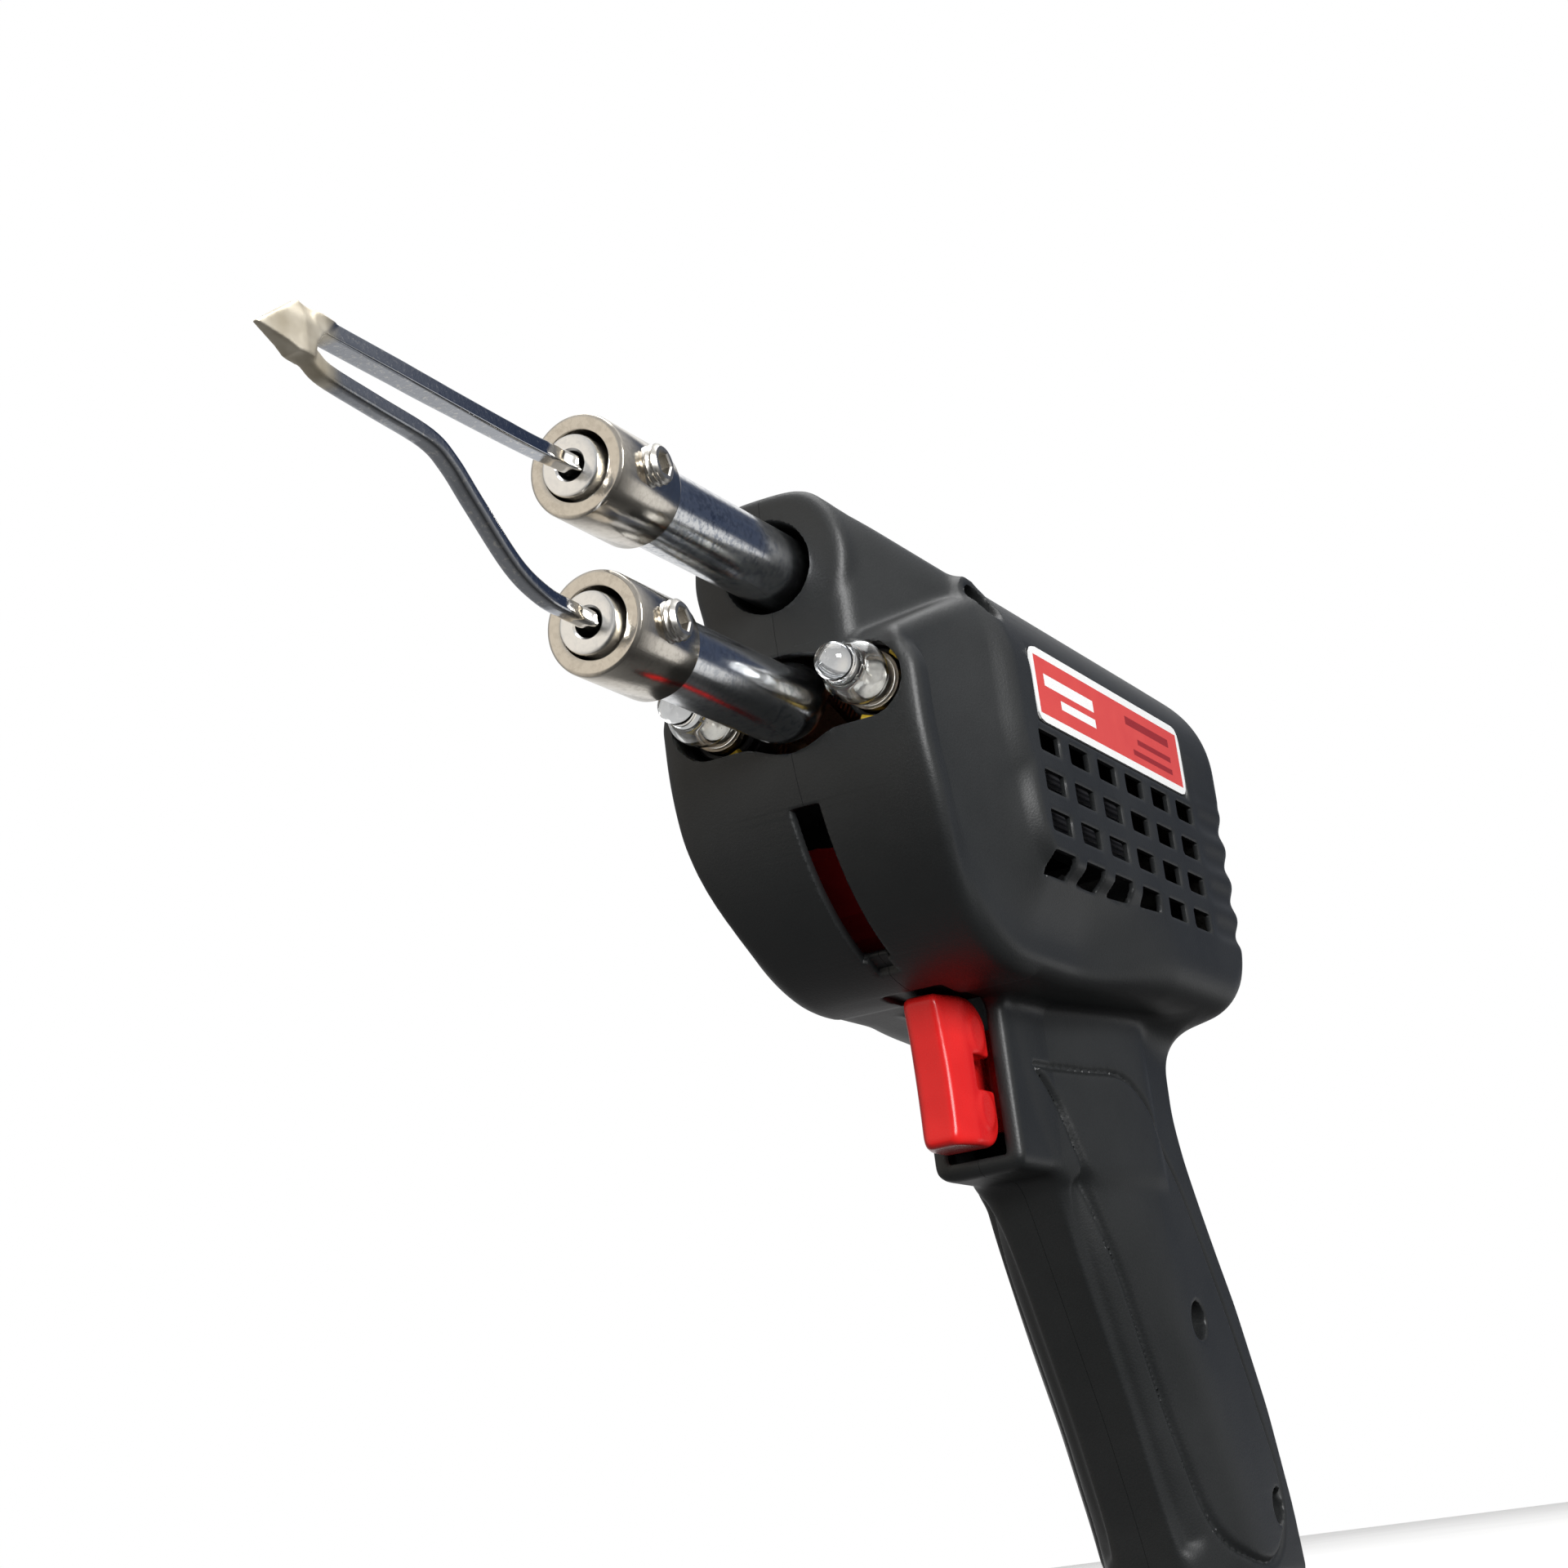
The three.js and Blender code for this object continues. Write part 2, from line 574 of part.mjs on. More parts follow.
function coilBobbin() {
  const { bore, flange } = BOBBIN;
  const edge = COIL.width / 2 + GAP;
  const core = rod(COIL.inner - GAP, -edge - flange, edge + flange, Y_AXIS, 32);
  const rims = [-1, 1].map((side) => {
    const near = side * edge;
    const far = side * (edge + flange);
    return rod(COIL.outer, Math.min(near, far), Math.max(near, far), Y_AXIS, 32);
  });
  const window = box([-bore, -edge - 5, -bore], [bore, edge + 5, bore]);
  return atCoil(join([core, ...rims]).subtract(window));
}

// Sector that leaves the gap of the single heavy turn open.
function turnGap() {
  const far = 60;
  const [from, to] = [TURN.gapFrom, TURN.gapTo];
  const sector = new THREE.Shape([
    new THREE.Vector2(0, 0), new THREE.Vector2(far * Math.cos(from), far * Math.sin(from)),
    new THREE.Vector2(far * Math.cos(to), far * Math.sin(to)),
  ]);
  return pull(sector, far, SIDE_VIEW);
}

// Single copper turn round the coil with a lug up to each barrel.
function secondaryTurn() {
  const inner = COIL.outer + GAP;
  const outer = inner + TURN.thickness;
  const ring = tube(inner, outer, -TURN.width / 2, TURN.width / 2, Y_AXIS, 32).subtract(turnGap());
  const lug = (angle, x, z) => {
    const start = new THREE.Vector2(Math.cos(angle), Math.sin(angle)).multiplyScalar((inner + outer) / 2);
    const curve = new THREE.LineCurve(start, new THREE.Vector2(x - COIL.x, z - COIL.z));
    return pull(ribbonShape(curve, TURN.thickness, 1), TURN.width / 2, SIDE_VIEW);
  };
  const upperLug = lug(TURN.gapTo + 0.05, BARREL.rear - 2, -3);
  const lowerLug = lug(TURN.gapFrom - 0.05, -4.7, -21.3);
  return atCoil(join([ring, upperLug, lowerLug]));
}

function coilTape() {
  const inner = COIL.outer + TURN.thickness + 2 * GAP;
  const ring = tube(inner, inner + TAPE.thickness, -TAPE.width / 2, TAPE.width / 2, Y_AXIS, 32);
  const wide = 0.12;
  const far = 60;
  const sector = new THREE.Shape([
    new THREE.Vector2(0, 0),
    new THREE.Vector2(far * Math.cos(TURN.gapFrom - wide), far * Math.sin(TURN.gapFrom - wide)),
    new THREE.Vector2(far * Math.cos(TURN.gapTo + wide), far * Math.sin(TURN.gapTo + wide)),
  ]);
  return atCoil(ring.subtract(pull(sector, far, SIDE_VIEW)));
}

// Laminated frame: front leg through the bobbin, rear leg behind the coil and a yoke on each side.
function transformerCore() {
  const frontFace = COIL.x + CORE.leg / 2;
  const rearFace = CORE.rearLeg - CORE.leg / 2;
  const [low, high] = [COIL.z - CORE.stack / 2, COIL.z + CORE.stack / 2];
  const frame = box([rearFace, -CORE.half, low], [frontFace, CORE.half, high]);
  const inside = CORE.half - CORE.yoke;
  const [windowRear, windowFront] = [CORE.rearLeg + CORE.leg / 2, COIL.x - CORE.leg / 2];
  return frame.subtract(box([windowRear, -inside, low - 1], [windowFront, inside, high + 1]));
}

// ---- trigger and switch ----------------------------------------------------------------------

function triggerShape(front, back) {
  const { top, bottom, bow } = TRIGGER;
  const middle = (top + bottom) / 2;
  const shape = new THREE.Shape();
  shape.moveTo(back, top);
  shape.lineTo(back, bottom);
  shape.lineTo(front - 1.5, bottom);
  shape.quadraticCurveTo(front, bottom, front, bottom + 2);
  shape.quadraticCurveTo(front - bow, middle, front, top - 2);
  shape.quadraticCurveTo(front, top, front - 1.5, top);
  shape.closePath();
  return shape;
}

// Red blade with two wider cheeks where it enters the grip, and a stop and stem inside.
function trigger() {
  const { front, back, top, bottom, notchTop, notchBottom } = TRIGGER;
  const { cheekFront, cheekHalf, stopFront, stopHalf } = TRIGGER;
  const blade = pull(triggerShape(front, back), 2 * TRIGGER.bladeHalf, SIDE_VIEW);
  const upperCheek = box([stopFront, -cheekHalf, notchTop], [cheekFront, cheekHalf, top]);
  const lowerCheek = box([stopFront, -cheekHalf, bottom], [cheekFront, cheekHalf, notchBottom]);
  const stop = box([back, -stopHalf, bottom], [stopFront, stopHalf, top]);
  const stem = rod(TRIGGER_STEM.radius, TRIGGER_STEM.end, back + 1).translate(0, 0, TRIGGER_AXIS_Z);
  return join([blade, upperCheek, lowerCheek, stop, stem]);
}

function switchBody() {
  const { front, rear, top, bottom, half, bore, boreDepth } = SWITCH;
  const body = box([rear, -half, bottom], [front, half, top]);
  return body.subtract(rod(bore, front - boreDepth, front + 1).translate(0, 0, TRIGGER_AXIS_Z));
}

function switchPlunger() {
  const start = TRIGGER_STEM.end - GAP;
  return rod(PLUNGER.radius, start - PLUNGER.length, start).translate(0, 0, TRIGGER_AXIS_Z);
}

// Compression spring round the trigger's stem and the plunger.
function triggerSpring() {
  const from = TRIGGER.back - GAP - SPRING.wire;
  const to = SWITCH.front + GAP + SPRING.wire;
  const stepsPerTurn = 8;
  const points = [];
  for (let i = 0; i <= SPRING.turns * stepsPerTurn; i += 1) {
    const share = i / (SPRING.turns * stepsPerTurn);
    const angle = share * SPRING.turns * Math.PI * 2;
    const [y, z] = [SPRING.radius * Math.cos(angle), TRIGGER_AXIS_Z + SPRING.radius * Math.sin(angle)];
    points.push(new THREE.Vector3(from + (to - from) * share, y, z));
  }
  return bar(new THREE.CatmullRomCurve3(points), SPRING.wire, SPRING.turns * stepsPerTurn, 5);
}

// ---- fasteners, inlet and leads --------------------------------------------------------------

function housingScrew({ seat }) {
  const under = seat - SCREW.headHeight;
  const body = turned([
    [0, -SCREW.reach], [SCREW.shank, -SCREW.reach], [SCREW.shank, under], [SCREW.head, under],
    [SCREW.head, seat - 0.6], [SCREW.head - 1, seat], [0, seat],
  ], Y_AXIS, 20);
  const arm = 1.9;
  const slotHalf = 0.35;
  const depth = 1.2;
  const cross = box([-arm, seat - depth, -slotHalf], [arm, seat + 1, slotHalf])
    .add(box([-slotHalf, seat - depth, -arm], [slotHalf, seat + 1, arm]));
  return body.subtract(cross);
}

function cordBush() {
  const { outer, bore, flange, height, flangeZ, flangeHeight } = BUSH;
  return turned([
    [bore, 0.2], [outer, 0.2], [outer, flangeZ], [flange, flangeZ], [flange, flangeZ + flangeHeight],
    [outer, flangeZ + flangeHeight], [outer, height], [bore, height], [bore, 0.2],
  ], Z_AXIS, 32).translate(BUSH.x, 0, -BASE_DROP);
}

// Bar that would press the cord down inside the handle, with a screw through each end.
function cordClamp() {
  const { length, height, depth, screwSpread, screwRadius } = CLAMP;
  const plate = box([-depth / 2, -length / 2, -height / 2], [depth / 2, length / 2, height / 2]);
  const holes = [-1, 1].map((side) => {
    return rod(screwRadius + GAP, -depth, depth).translate(0, side * screwSpread, 0);
  });
  return plate.subtract(join(holes));
}

function clampScrew() {
  const { depth, screwRadius, screwLength, headRadius, headHeight } = CLAMP;
  const face = depth / 2 + GAP;
  return turned([
    [0, face - screwLength], [screwRadius, face - screwLength], [screwRadius, face],
    [headRadius, face], [headRadius, face + headHeight], [0, face + headHeight],
  ], X_AXIS, 16);
}

// Insulated lead through hand-placed points.
function lead(points) {
  const curve = new THREE.CatmullRomCurve3(points.map((point) => new THREE.Vector3(...point)));
  return bar(curve, LEAD_RADIUS, points.length * 3, 6);
}

const PRIMARY_LEAD = [[-96.5, 5, -78], [-102, 7, -70], [-101, 12, -56], [-88, 17, -50], [-66, 17.6, -46]];
const LAMP_LEAD = [[-18.6, LAMP.y, LAMP.z], [-23, 16, -18], [-30, 18.5, -17], [-40, 19.5, -20]];

function sideLead(points, side) {
  return lead(points.map(([x, y, z]) => [x, side * y, z]));
}

// ---- assembly --------------------------------------------------------------------------------

const FINISH = {
  charcoal: { color: 0x2b2d2d, roughness: 0.75, metalness: 0 },
  trigger: { color: 0xb3121a, roughness: 0.25, metalness: 0 },
  label: { color: 0xda504b, roughness: 0.4, metalness: 0 },
  nickel: { color: 0xbdb6ac, roughness: 0.3, metalness: 1 },
  chrome: { color: 0xc4c8cc, roughness: 0.15, metalness: 1 },
  tinned: { color: 0xc2b49c, roughness: 0.35, metalness: 1 },
  steel: { color: 0x8d8f92, roughness: 0.4, metalness: 1 },
  copper: { color: 0xb5683c, roughness: 0.35, metalness: 1 },
  glass: { color: 0xe8eef0, roughness: 0.05, metalness: 0 },
  brass: { color: 0xb89a4c, roughness: 0.35, metalness: 1 },
  black: { color: 0x18191a, roughness: 0.55, metalness: 0 },
  tape: { color: 0xa32622, roughness: 0.5, metalness: 0 },
  bobbin: { color: 0xd9d2bf, roughness: 0.6, metalness: 0 },
  yellow: { color: 0xd8b52c, roughness: 0.5, metalness: 0 },
};

const gun = new THREE.Group();
gun.position.set(CENTRE_SHIFT, 0, BASE_DROP);

function addPart(name, body, finish, place = [0, 0, 0]) {
  const mesh = new THREE.Mesh(toGeometry(body), new THREE.MeshStandardMaterial(FINISH[finish]));
  mesh.name = name;
  mesh.position.set(...place);
  gun.add(mesh);
}

function addHousing() {
  const whole = housing();
  addPart('housing_left', housingHalf(whole, 1), 'charcoal');
  addPart('housing_right', housingHalf(whole, -1), 'charcoal');
  HOUSING_SCREWS.forEach((screw) => {
    addPart(screw.name, housingScrew(screw), 'steel', [screw.x, 0, screw.z]);
  });
  const plate = pull(labelShape(GAP), LABEL.thickness, SIDE_VIEW);
  const labelY = HEAD.half - LABEL.recess + GAP / 2 + LABEL.thickness / 2;
  addPart('label_left', plate, 'label', [0, labelY, 0]);
  addPart('label_right', plate, 'label', [0, -labelY, 0]);
}

function addFront() {
  const low = [0, 0, -BARREL.spacing];
  addPart('upper_barrel', upperBarrel(), 'chrome');
  addPart('lower_barrel', lowerBarrel(), 'chrome', low);
  addPart('upper_collar', collar(), 'nickel');
  addPart('lower_collar', collar(), 'nickel', low);
  addPart('upper_set_screw', setScrew(), 'steel', [SET_SCREW.x, 0, 0]);
  addPart('lower_set_screw', setScrew(), 'steel', [SET_SCREW.x, 0, -BARREL.spacing]);
  addPart('soldering_tip', tip(), 'tinned');
}

function addLamps() {
  [['left', 1], ['right', -1]].forEach(([word, side]) => {
    const place = [0, side * LAMP.y, LAMP.z];
    addPart(`lamp_${word}`, lampGlass(), 'glass', place);
    addPart(`lamp_base_${word}`, lampBase(), 'brass', place);
    addPart(`lamp_holder_${word}`, lampHolder(), 'black', place);
    addPart(`lamp_lead_${word}`, sideLead(LAMP_LEAD, side), 'yellow');
  });
}

function addTransformer() {
  addPart('transformer_core', transformerCore(), 'steel');
  addPart('coil_bobbin', coilBobbin(), 'bobbin');
  addPart('primary_coil', primaryCoil(), 'copper');
  addPart('secondary_turn', secondaryTurn(), 'copper');
  addPart('coil_tape', coilTape(), 'tape');
}

function addTriggerAndSwitch() {
  addPart('trigger', trigger(), 'trigger');
  addPart('trigger_spring', triggerSpring(), 'steel');
  addPart('switch_body', switchBody(), 'black');
  addPart('switch_plunger', switchPlunger(), 'steel');
  addPart('primary_lead_left', sideLead(PRIMARY_LEAD, 1), 'black');
  addPart('primary_lead_right', sideLead(PRIMARY_LEAD, -1), 'black');
}

function addInlet() {
  addPart('cord_bush', cordBush(), 'black');
  addPart('cord_clamp', cordClamp(), 'steel', [CLAMP.x, 0, CLAMP.z]);
  [['left', 1], ['right', -1]].forEach(([word, side]) => {
    addPart(`clamp_screw_${word}`, clampScrew(), 'steel', [CLAMP.x, side * CLAMP.screwSpread, CLAMP.z]);
  });
}

addHousing();
addFront();
addLamps();
addTransformer();
addTriggerAndSwitch();
addInlet();

const group = new THREE.Group();
group.add(gun);

export default group;
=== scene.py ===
# Pistol-grip transformer soldering gun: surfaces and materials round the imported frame.
# Shapes are worked out in millimetres in the gun's own frame: x = 0 is the nose boss's front face,
# z = 0 is the upper barrel's axis, and y = 0 is the seam between the housing halves.
import json
import math

import bmesh
import bpy
import numpy as np
from mathutils import Matrix, Vector


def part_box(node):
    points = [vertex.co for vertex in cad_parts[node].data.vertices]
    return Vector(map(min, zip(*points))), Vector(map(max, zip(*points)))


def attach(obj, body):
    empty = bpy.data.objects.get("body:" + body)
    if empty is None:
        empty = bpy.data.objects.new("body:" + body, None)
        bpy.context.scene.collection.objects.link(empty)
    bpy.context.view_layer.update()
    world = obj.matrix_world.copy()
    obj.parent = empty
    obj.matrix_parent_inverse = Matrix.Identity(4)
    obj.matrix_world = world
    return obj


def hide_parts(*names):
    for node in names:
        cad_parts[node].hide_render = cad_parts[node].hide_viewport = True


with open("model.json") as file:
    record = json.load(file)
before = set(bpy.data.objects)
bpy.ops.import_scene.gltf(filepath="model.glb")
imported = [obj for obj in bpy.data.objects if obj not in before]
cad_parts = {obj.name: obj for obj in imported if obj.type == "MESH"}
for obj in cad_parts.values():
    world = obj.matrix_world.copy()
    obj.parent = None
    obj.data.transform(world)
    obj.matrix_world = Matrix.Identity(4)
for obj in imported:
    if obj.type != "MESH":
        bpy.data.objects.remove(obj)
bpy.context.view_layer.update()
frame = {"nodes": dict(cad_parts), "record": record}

MM = 0.001
ROOT = "gun_body"
NOSE_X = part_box("housing_left")[1].x
AXIS_Z = (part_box("upper_collar")[0].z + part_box("upper_collar")[1].z) / 2
ORIGIN = Vector((NOSE_X, 0.0, AXIS_Z))


def to_world(points):
    """Gun-frame millimetres to row-frame metres."""
    return np.asarray(points, float) * MM + np.array(ORIGIN)


def local_box(node):
    """A CAD node's lowest and highest corners in gun-frame millimetres."""
    low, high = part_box(node)
    return (low - ORIGIN) / MM, (high - ORIGIN) / MM


BASE_Z = -AXIS_Z / MM
LOWER_Z = (local_box("lower_collar")[0].z + local_box("lower_collar")[1].z) / 2

# ---- signed-distance helpers: every field is negative inside, in millimetres ----


def blend_min(a, b, k):
    """Union with a fillet of about k."""
    h = np.clip(0.5 + 0.5 * (b - a) / k, 0.0, 1.0)
    return b + (a - b) * h - k * h * (1.0 - h)


def blend_max(a, b, k):
    """Intersection with its edge rounded by about k."""
    return -blend_min(-a, -b, k)


def smooth_step(low, high, value):
    t = np.clip((value - low) / (high - low), 0.0, 1.0)
    return t * t * (3.0 - 2.0 * t)


def corner_distance(a, b, radius):
    """Distance outside a quarter-round corner whose centre is at a = b = 0."""
    outside = np.hypot(np.maximum(a, 0.0), np.maximum(b, 0.0))
    return outside + np.minimum(np.maximum(a, b), 0.0) - radius


def segment_distance(x, z, start, end):
    ax, az = start
    dx, dz = end[0] - ax, end[1] - az
    t = np.clip(((x - ax) * dx + (z - az) * dz) / (dx * dx + dz * dz), 0.0, 1.0)
    return np.hypot(x - ax - t * dx, z - az - t * dz)


def polyline_distance(x, z, points):
    return np.minimum.reduce([segment_distance(x, z, a, b) for a, b in zip(points, points[1:])])


def polygon_distance(x, z, points):
    """Signed distance to a closed outline."""
    closed = list(points) + [points[0]]
    distance = polyline_distance(x, z, closed)
    inside = np.zeros(np.broadcast(x, z).shape, bool)
    for (ax, az), (bx, bz) in zip(closed, closed[1:]):
        if az == bz:
            continue
        crosses = (z > min(az, bz)) & (z <= max(az, bz))
        edge_x = ax + (z - az) * (bx - ax) / (bz - az)
        inside ^= crosses & (x < edge_x)
    return np.where(inside, -distance, distance)


def rounded_path(points, steps=6):
    """Catmull-Rom curve through the points, as a denser polyline."""
    p = [np.array(q, float) for q in points]
    p = [2 * p[0] - p[1], *p, 2 * p[-1] - p[-2]]
    path = []
    for a, b, c, d in zip(p, p[1:], p[2:], p[3:]):
        for i in range(steps):
            t = i / steps
            path.append(0.5 * (2 * b + (c - a) * t + (2 * a - 5 * b + 4 * c - d) * t**2
                               + (3 * b - a - 3 * c + d) * t**3))
    path.append(p[-2])
    return [tuple(q) for q in path]


def smooth_profile(z, stations, spread=3.0):
    """A value given at a few heights, interpolated and then softened over about `spread` millimetres."""
    heights = np.array([s[0] for s in stations][::-1], float)
    values = np.array([s[1] for s in stations][::-1], float)
    offsets = np.linspace(-1.5, 1.5, 13)
    weights = np.exp(-offsets**2)
    samples = [w * np.interp(z + o * spread, heights, values) for o, w in zip(offsets, weights)]
    return sum(samples) / weights.sum()


# ---- surface of a field ----

EDGE_PAIRS = [(a, b) for a in range(8) for b in range(a + 1, 8) if bin(a ^ b).count("1") == 1]


def sample(values, low, step, points):
    """Trilinear value and gradient of a sampled field at the points."""
    g = (points - low) / step
    cell = np.clip(np.floor(g).astype(int), 0, np.array(values.shape) - 2)
    f = g - cell
    c = [[[values[cell[:, 0] + i, cell[:, 1] + j, cell[:, 2] + k] for k in (0, 1)] for j in (0, 1)]
         for i in (0, 1)]
    fx, fy, fz = f.T

    def mix(a, b, t):
        return a + (b - a) * t

    x0 = [[mix(c[0][j][k], c[1][j][k], fx) for k in (0, 1)] for j in (0, 1)]
    dx = [[c[1][j][k] - c[0][j][k] for k in (0, 1)] for j in (0, 1)]
    value = mix(mix(x0[0][0], x0[1][0], fy), mix(x0[0][1], x0[1][1], fy), fz)
    gx = mix(mix(dx[0][0], dx[1][0], fy), mix(dx[0][1], dx[1][1], fy), fz)
    gy = mix(x0[1][0] - x0[0][0], x0[1][1] - x0[0][1], fz)
    gz = mix(x0[0][1], x0[1][1], fy) - mix(x0[0][0], x0[1][0], fy)
    return value, np.stack([gx, gy, gz], 1) / step


def field_surface(values, low, step):
    """Vertices and quads of the zero surface of a sampled field (surface nets)."""
    sign = values < 0
    corners = [sign[i:i + sign.shape[0] - 1, j:j + sign.shape[1] - 1, k:k + sign.shape[2] - 1]
               for i in (0, 1) for j in (0, 1) for k in (0, 1)]
    count = sum(c.astype(np.int8) for c in corners)
    cells = np.argwhere((count > 0) & (count < 8))
    offsets = np.array([[i, j, k] for i in (0, 1) for j in (0, 1) for k in (0, 1)])
    at = [values[tuple((cells + o).T)] for o in offsets]
    total = np.zeros((len(cells), 3))
    hits = np.zeros(len(cells))
    for a, b in EDGE_PAIRS:
        crossing = (at[a] < 0) != (at[b] < 0)
        t = np.where(crossing, at[a] / np.where(crossing, at[a] - at[b], 1.0), 0.0)
        point = offsets[a] + t[:, None] * (offsets[b] - offsets[a])
        total += point * crossing[:, None]
        hits += crossing
    points = low + (cells + total / hits[:, None]) * step
    for _ in range(2):
        value, gradient = sample(values, low, step, points)
        size = np.maximum((gradient**2).sum(1), 0.05)
        move = -(value / size)[:, None] * gradient
        points += np.clip(move, -0.3 * step, 0.3 * step)
    ids = np.full(count.shape, -1, np.int32)
    ids[tuple(cells.T)] = np.arange(len(cells))
    quads = []
    for axis in range(3):
        u, v = [(1, 2), (2, 0), (0, 1)][axis]
        ahead = np.roll(sign, -1, axis)
        changed = sign != ahead
        inner = [slice(1, -1)] * 3
        inner[axis] = slice(0, -1)
        where = np.argwhere(changed[tuple(inner)])
        where[:, u] += 1
        where[:, v] += 1
        step_u = np.eye(3, dtype=int)[u]
        step_v = np.eye(3, dtype=int)[v]
        ring = [where - step_u - step_v, where - step_v, where, where - step_u]
        quad = np.stack([ids[tuple(r.T)] for r in ring], 1)
        flip = ~sign[tuple(where.T)]
        quad[flip] = quad[flip][:, ::-1]
        quads.append(quad)
    quads = np.concatenate(quads)
    return points, quads[(quads >= 0).all(1)]


def grid(low, high, step):
    x, y, z = [np.arange(a, b + step, step, dtype=np.float32) for a, b in zip(low, high)]
    return x[:, None, None], y[None, :, None], z[None, None, :]


def linked(name, data):
    """New object in the scene."""
    obj = bpy.data.objects.new(name, data)
    bpy.context.scene.collection.objects.link(obj)
    return obj


def new_object(name, points, quads):
    """Smooth-shaded object from points in gun-frame millimetres and an array of quads."""
    mesh = bpy.data.meshes.new(name)
    mesh.vertices.add(len(points))
    mesh.vertices.foreach_set("co", to_world(points).astype(np.float32).ravel())
    mesh.loops.add(quads.size)
    mesh.loops.foreach_set("vertex_index", quads.astype(np.int32).ravel())
    mesh.polygons.add(len(quads))
    mesh.polygons.foreach_set("loop_start", np.arange(0, quads.size, 4, dtype=np.int32))
    mesh.polygons.foreach_set("use_smooth", np.full(len(quads), True))
    mesh.update(calc_edges=True)
    mesh.validate()
    return linked(name, mesh)


def field_mesh(field, low, high, step):
    """Points and quads of the surface where field(x, y, z) is zero."""
    x, y, z = grid(low, high, step)
    shape = (x.size, y.size, z.size)
    values = np.ascontiguousarray(np.broadcast_to(field(x, y, z), shape)).astype(np.float32)
    return field_surface(values, np.array(low, float), step)


def field_object(name, field, low, high, step):
    return new_object(name, *field_mesh(field, low, high, step))


def skin(rings):
    """Quads over a stack of rings with equal point counts; each ring closes on itself."""
    sides = len(rings[0])
    quads = []
    for r in range(len(rings) - 1):
        a = r * sides + np.arange(sides)
        b = r * sides + (np.arange(sides) + 1) % sides
        quads.append(np.stack([a, b, b + sides, a + sides], 1))
    return np.concatenate(rings), np.concatenate(quads)


def welded(obj, sharp_degrees=35):
    """Joins points that meet, such as a turned piece's poles, and points every face outwards."""
    mesh = obj.data
    work = bmesh.new()
    work.from_mesh(mesh)
    bmesh.ops.remove_doubles(work, verts=work.verts, dist=1e-6)
    bmesh.ops.recalc_face_normals(work, faces=work.faces)
    work.to_mesh(mesh)
    work.free()
    mesh.set_sharp_from_angle(angle=math.radians(sharp_degrees))
    return obj


def turned_rings(profile, centre=(0.0, 0.0), sides=72):
    """Rings about an axis along X; the profile's points are (x, radius)."""
    angle = np.linspace(0.0, 2.0 * math.pi, sides, endpoint=False)
    y, z = centre
    return [np.stack([np.full(sides, x), y + r * np.cos(angle), z + r * np.sin(angle)], 1)
            for x, r in profile]


def merged(parts):
    """Several point and quad sets as one."""
    points, quads, start = [], [], 0
    for p, q in parts:
        points.append(p)
        quads.append(q + start)
        start += len(p)
    return np.concatenate(points), np.concatenate(quads)


def turned_object(name, profile, centre=(0.0, 0.0), sides=72):
    return welded(new_object(name, *skin(turned_rings(profile, centre, sides))))


def swept_rings(path, radii, sides):
    """Round rings along a path, with one radius for each point of it."""
    path = np.array(path, float)
    along = np.gradient(path, axis=0)
    along /= np.linalg.norm(along, axis=1)[:, None]
    side = np.cross(along[0], (0.31, 0.17, 0.93))
    rings = []
    for point, direction, radius in zip(path, along, radii):
        side = side - direction * side.dot(direction)
        side /= np.linalg.norm(side)
        up = np.cross(direction, side)
        angle = np.linspace(0.0, 2.0 * math.pi, sides, endpoint=False)[:, None]
        rings.append(point + radius * (np.cos(angle) * side + np.sin(angle) * up))
    return rings


def tube(path, radii, sides):
    """Capped round tube; radii is one radius, or one for each point of the path."""
    rings = swept_rings(path, np.broadcast_to(radii, len(path)), sides)
    start, end = [np.repeat(ring.mean(0)[None], sides, 0) for ring in (rings[0], rings[-1])]
    return skin([start, *rings, end])


# ---- materials ----


class Tree:
    """Small helper round a node tree. A colour is (red, green, blue), or one number for a grey."""

    def __init__(self, tree):
        self.tree = tree

    def add(self, kind, **settings):
        node = self.tree.nodes.new(kind)
        for key, value in settings.items():
            setattr(node, key, value)
        return node

    def link(self, source, target):
        self.tree.links.new(source, target)

    def feed(self, socket, value):
        """Gives a socket a colour, a number or another node's output."""
        if isinstance(value, tuple):
            socket.default_value = (*value, 1.0)
        elif isinstance(value, (int, float)):
            socket.default_value = value
        else:
            self.link(value, socket)

    def axes(self, vector):
        node = self.add("ShaderNodeSeparateXYZ")
        self.link(vector, node.inputs[0])
        return node.outputs

    def ramp(self, value, stops):
        node = self.add("ShaderNodeValToRGB")
        elements = node.color_ramp.elements
        while len(elements) < len(stops):
            elements.new(0.5)
        for element, (place, colour) in zip(elements, stops):
            element.position = place
            element.color = (*colour, 1.0) if isinstance(colour, tuple) else (colour, colour, colour, 1.0)
        self.link(value, node.inputs["Fac"])
        return node.outputs["Color"]

    def spread(self, value, low, high, start=0.0, end=1.0):
        """Moves a value between low and high to the same share of the way from start to end."""
        node = self.add("ShaderNodeMapRange")
        for key, number in (("From Min", low), ("From Max", high), ("To Min", start), ("To Max", end)):
            node.inputs[key].default_value = number
        self.link(value, node.inputs["Value"])
        return node.outputs["Result"]

    def math(self, operation, a, b=0.0):
        node = self.add("ShaderNodeMath", operation=operation)
        self.feed(node.inputs[0], a)
        self.feed(node.inputs[1], b)
        return node.outputs[0]

    def mix(self, factor, a, b):
        node = self.add("ShaderNodeMix", data_type="RGBA")
        for key, value in (("Factor", factor), ("A", a), ("B", b)):
            self.feed(node.inputs[key], value)
        return node.outputs["Result"]


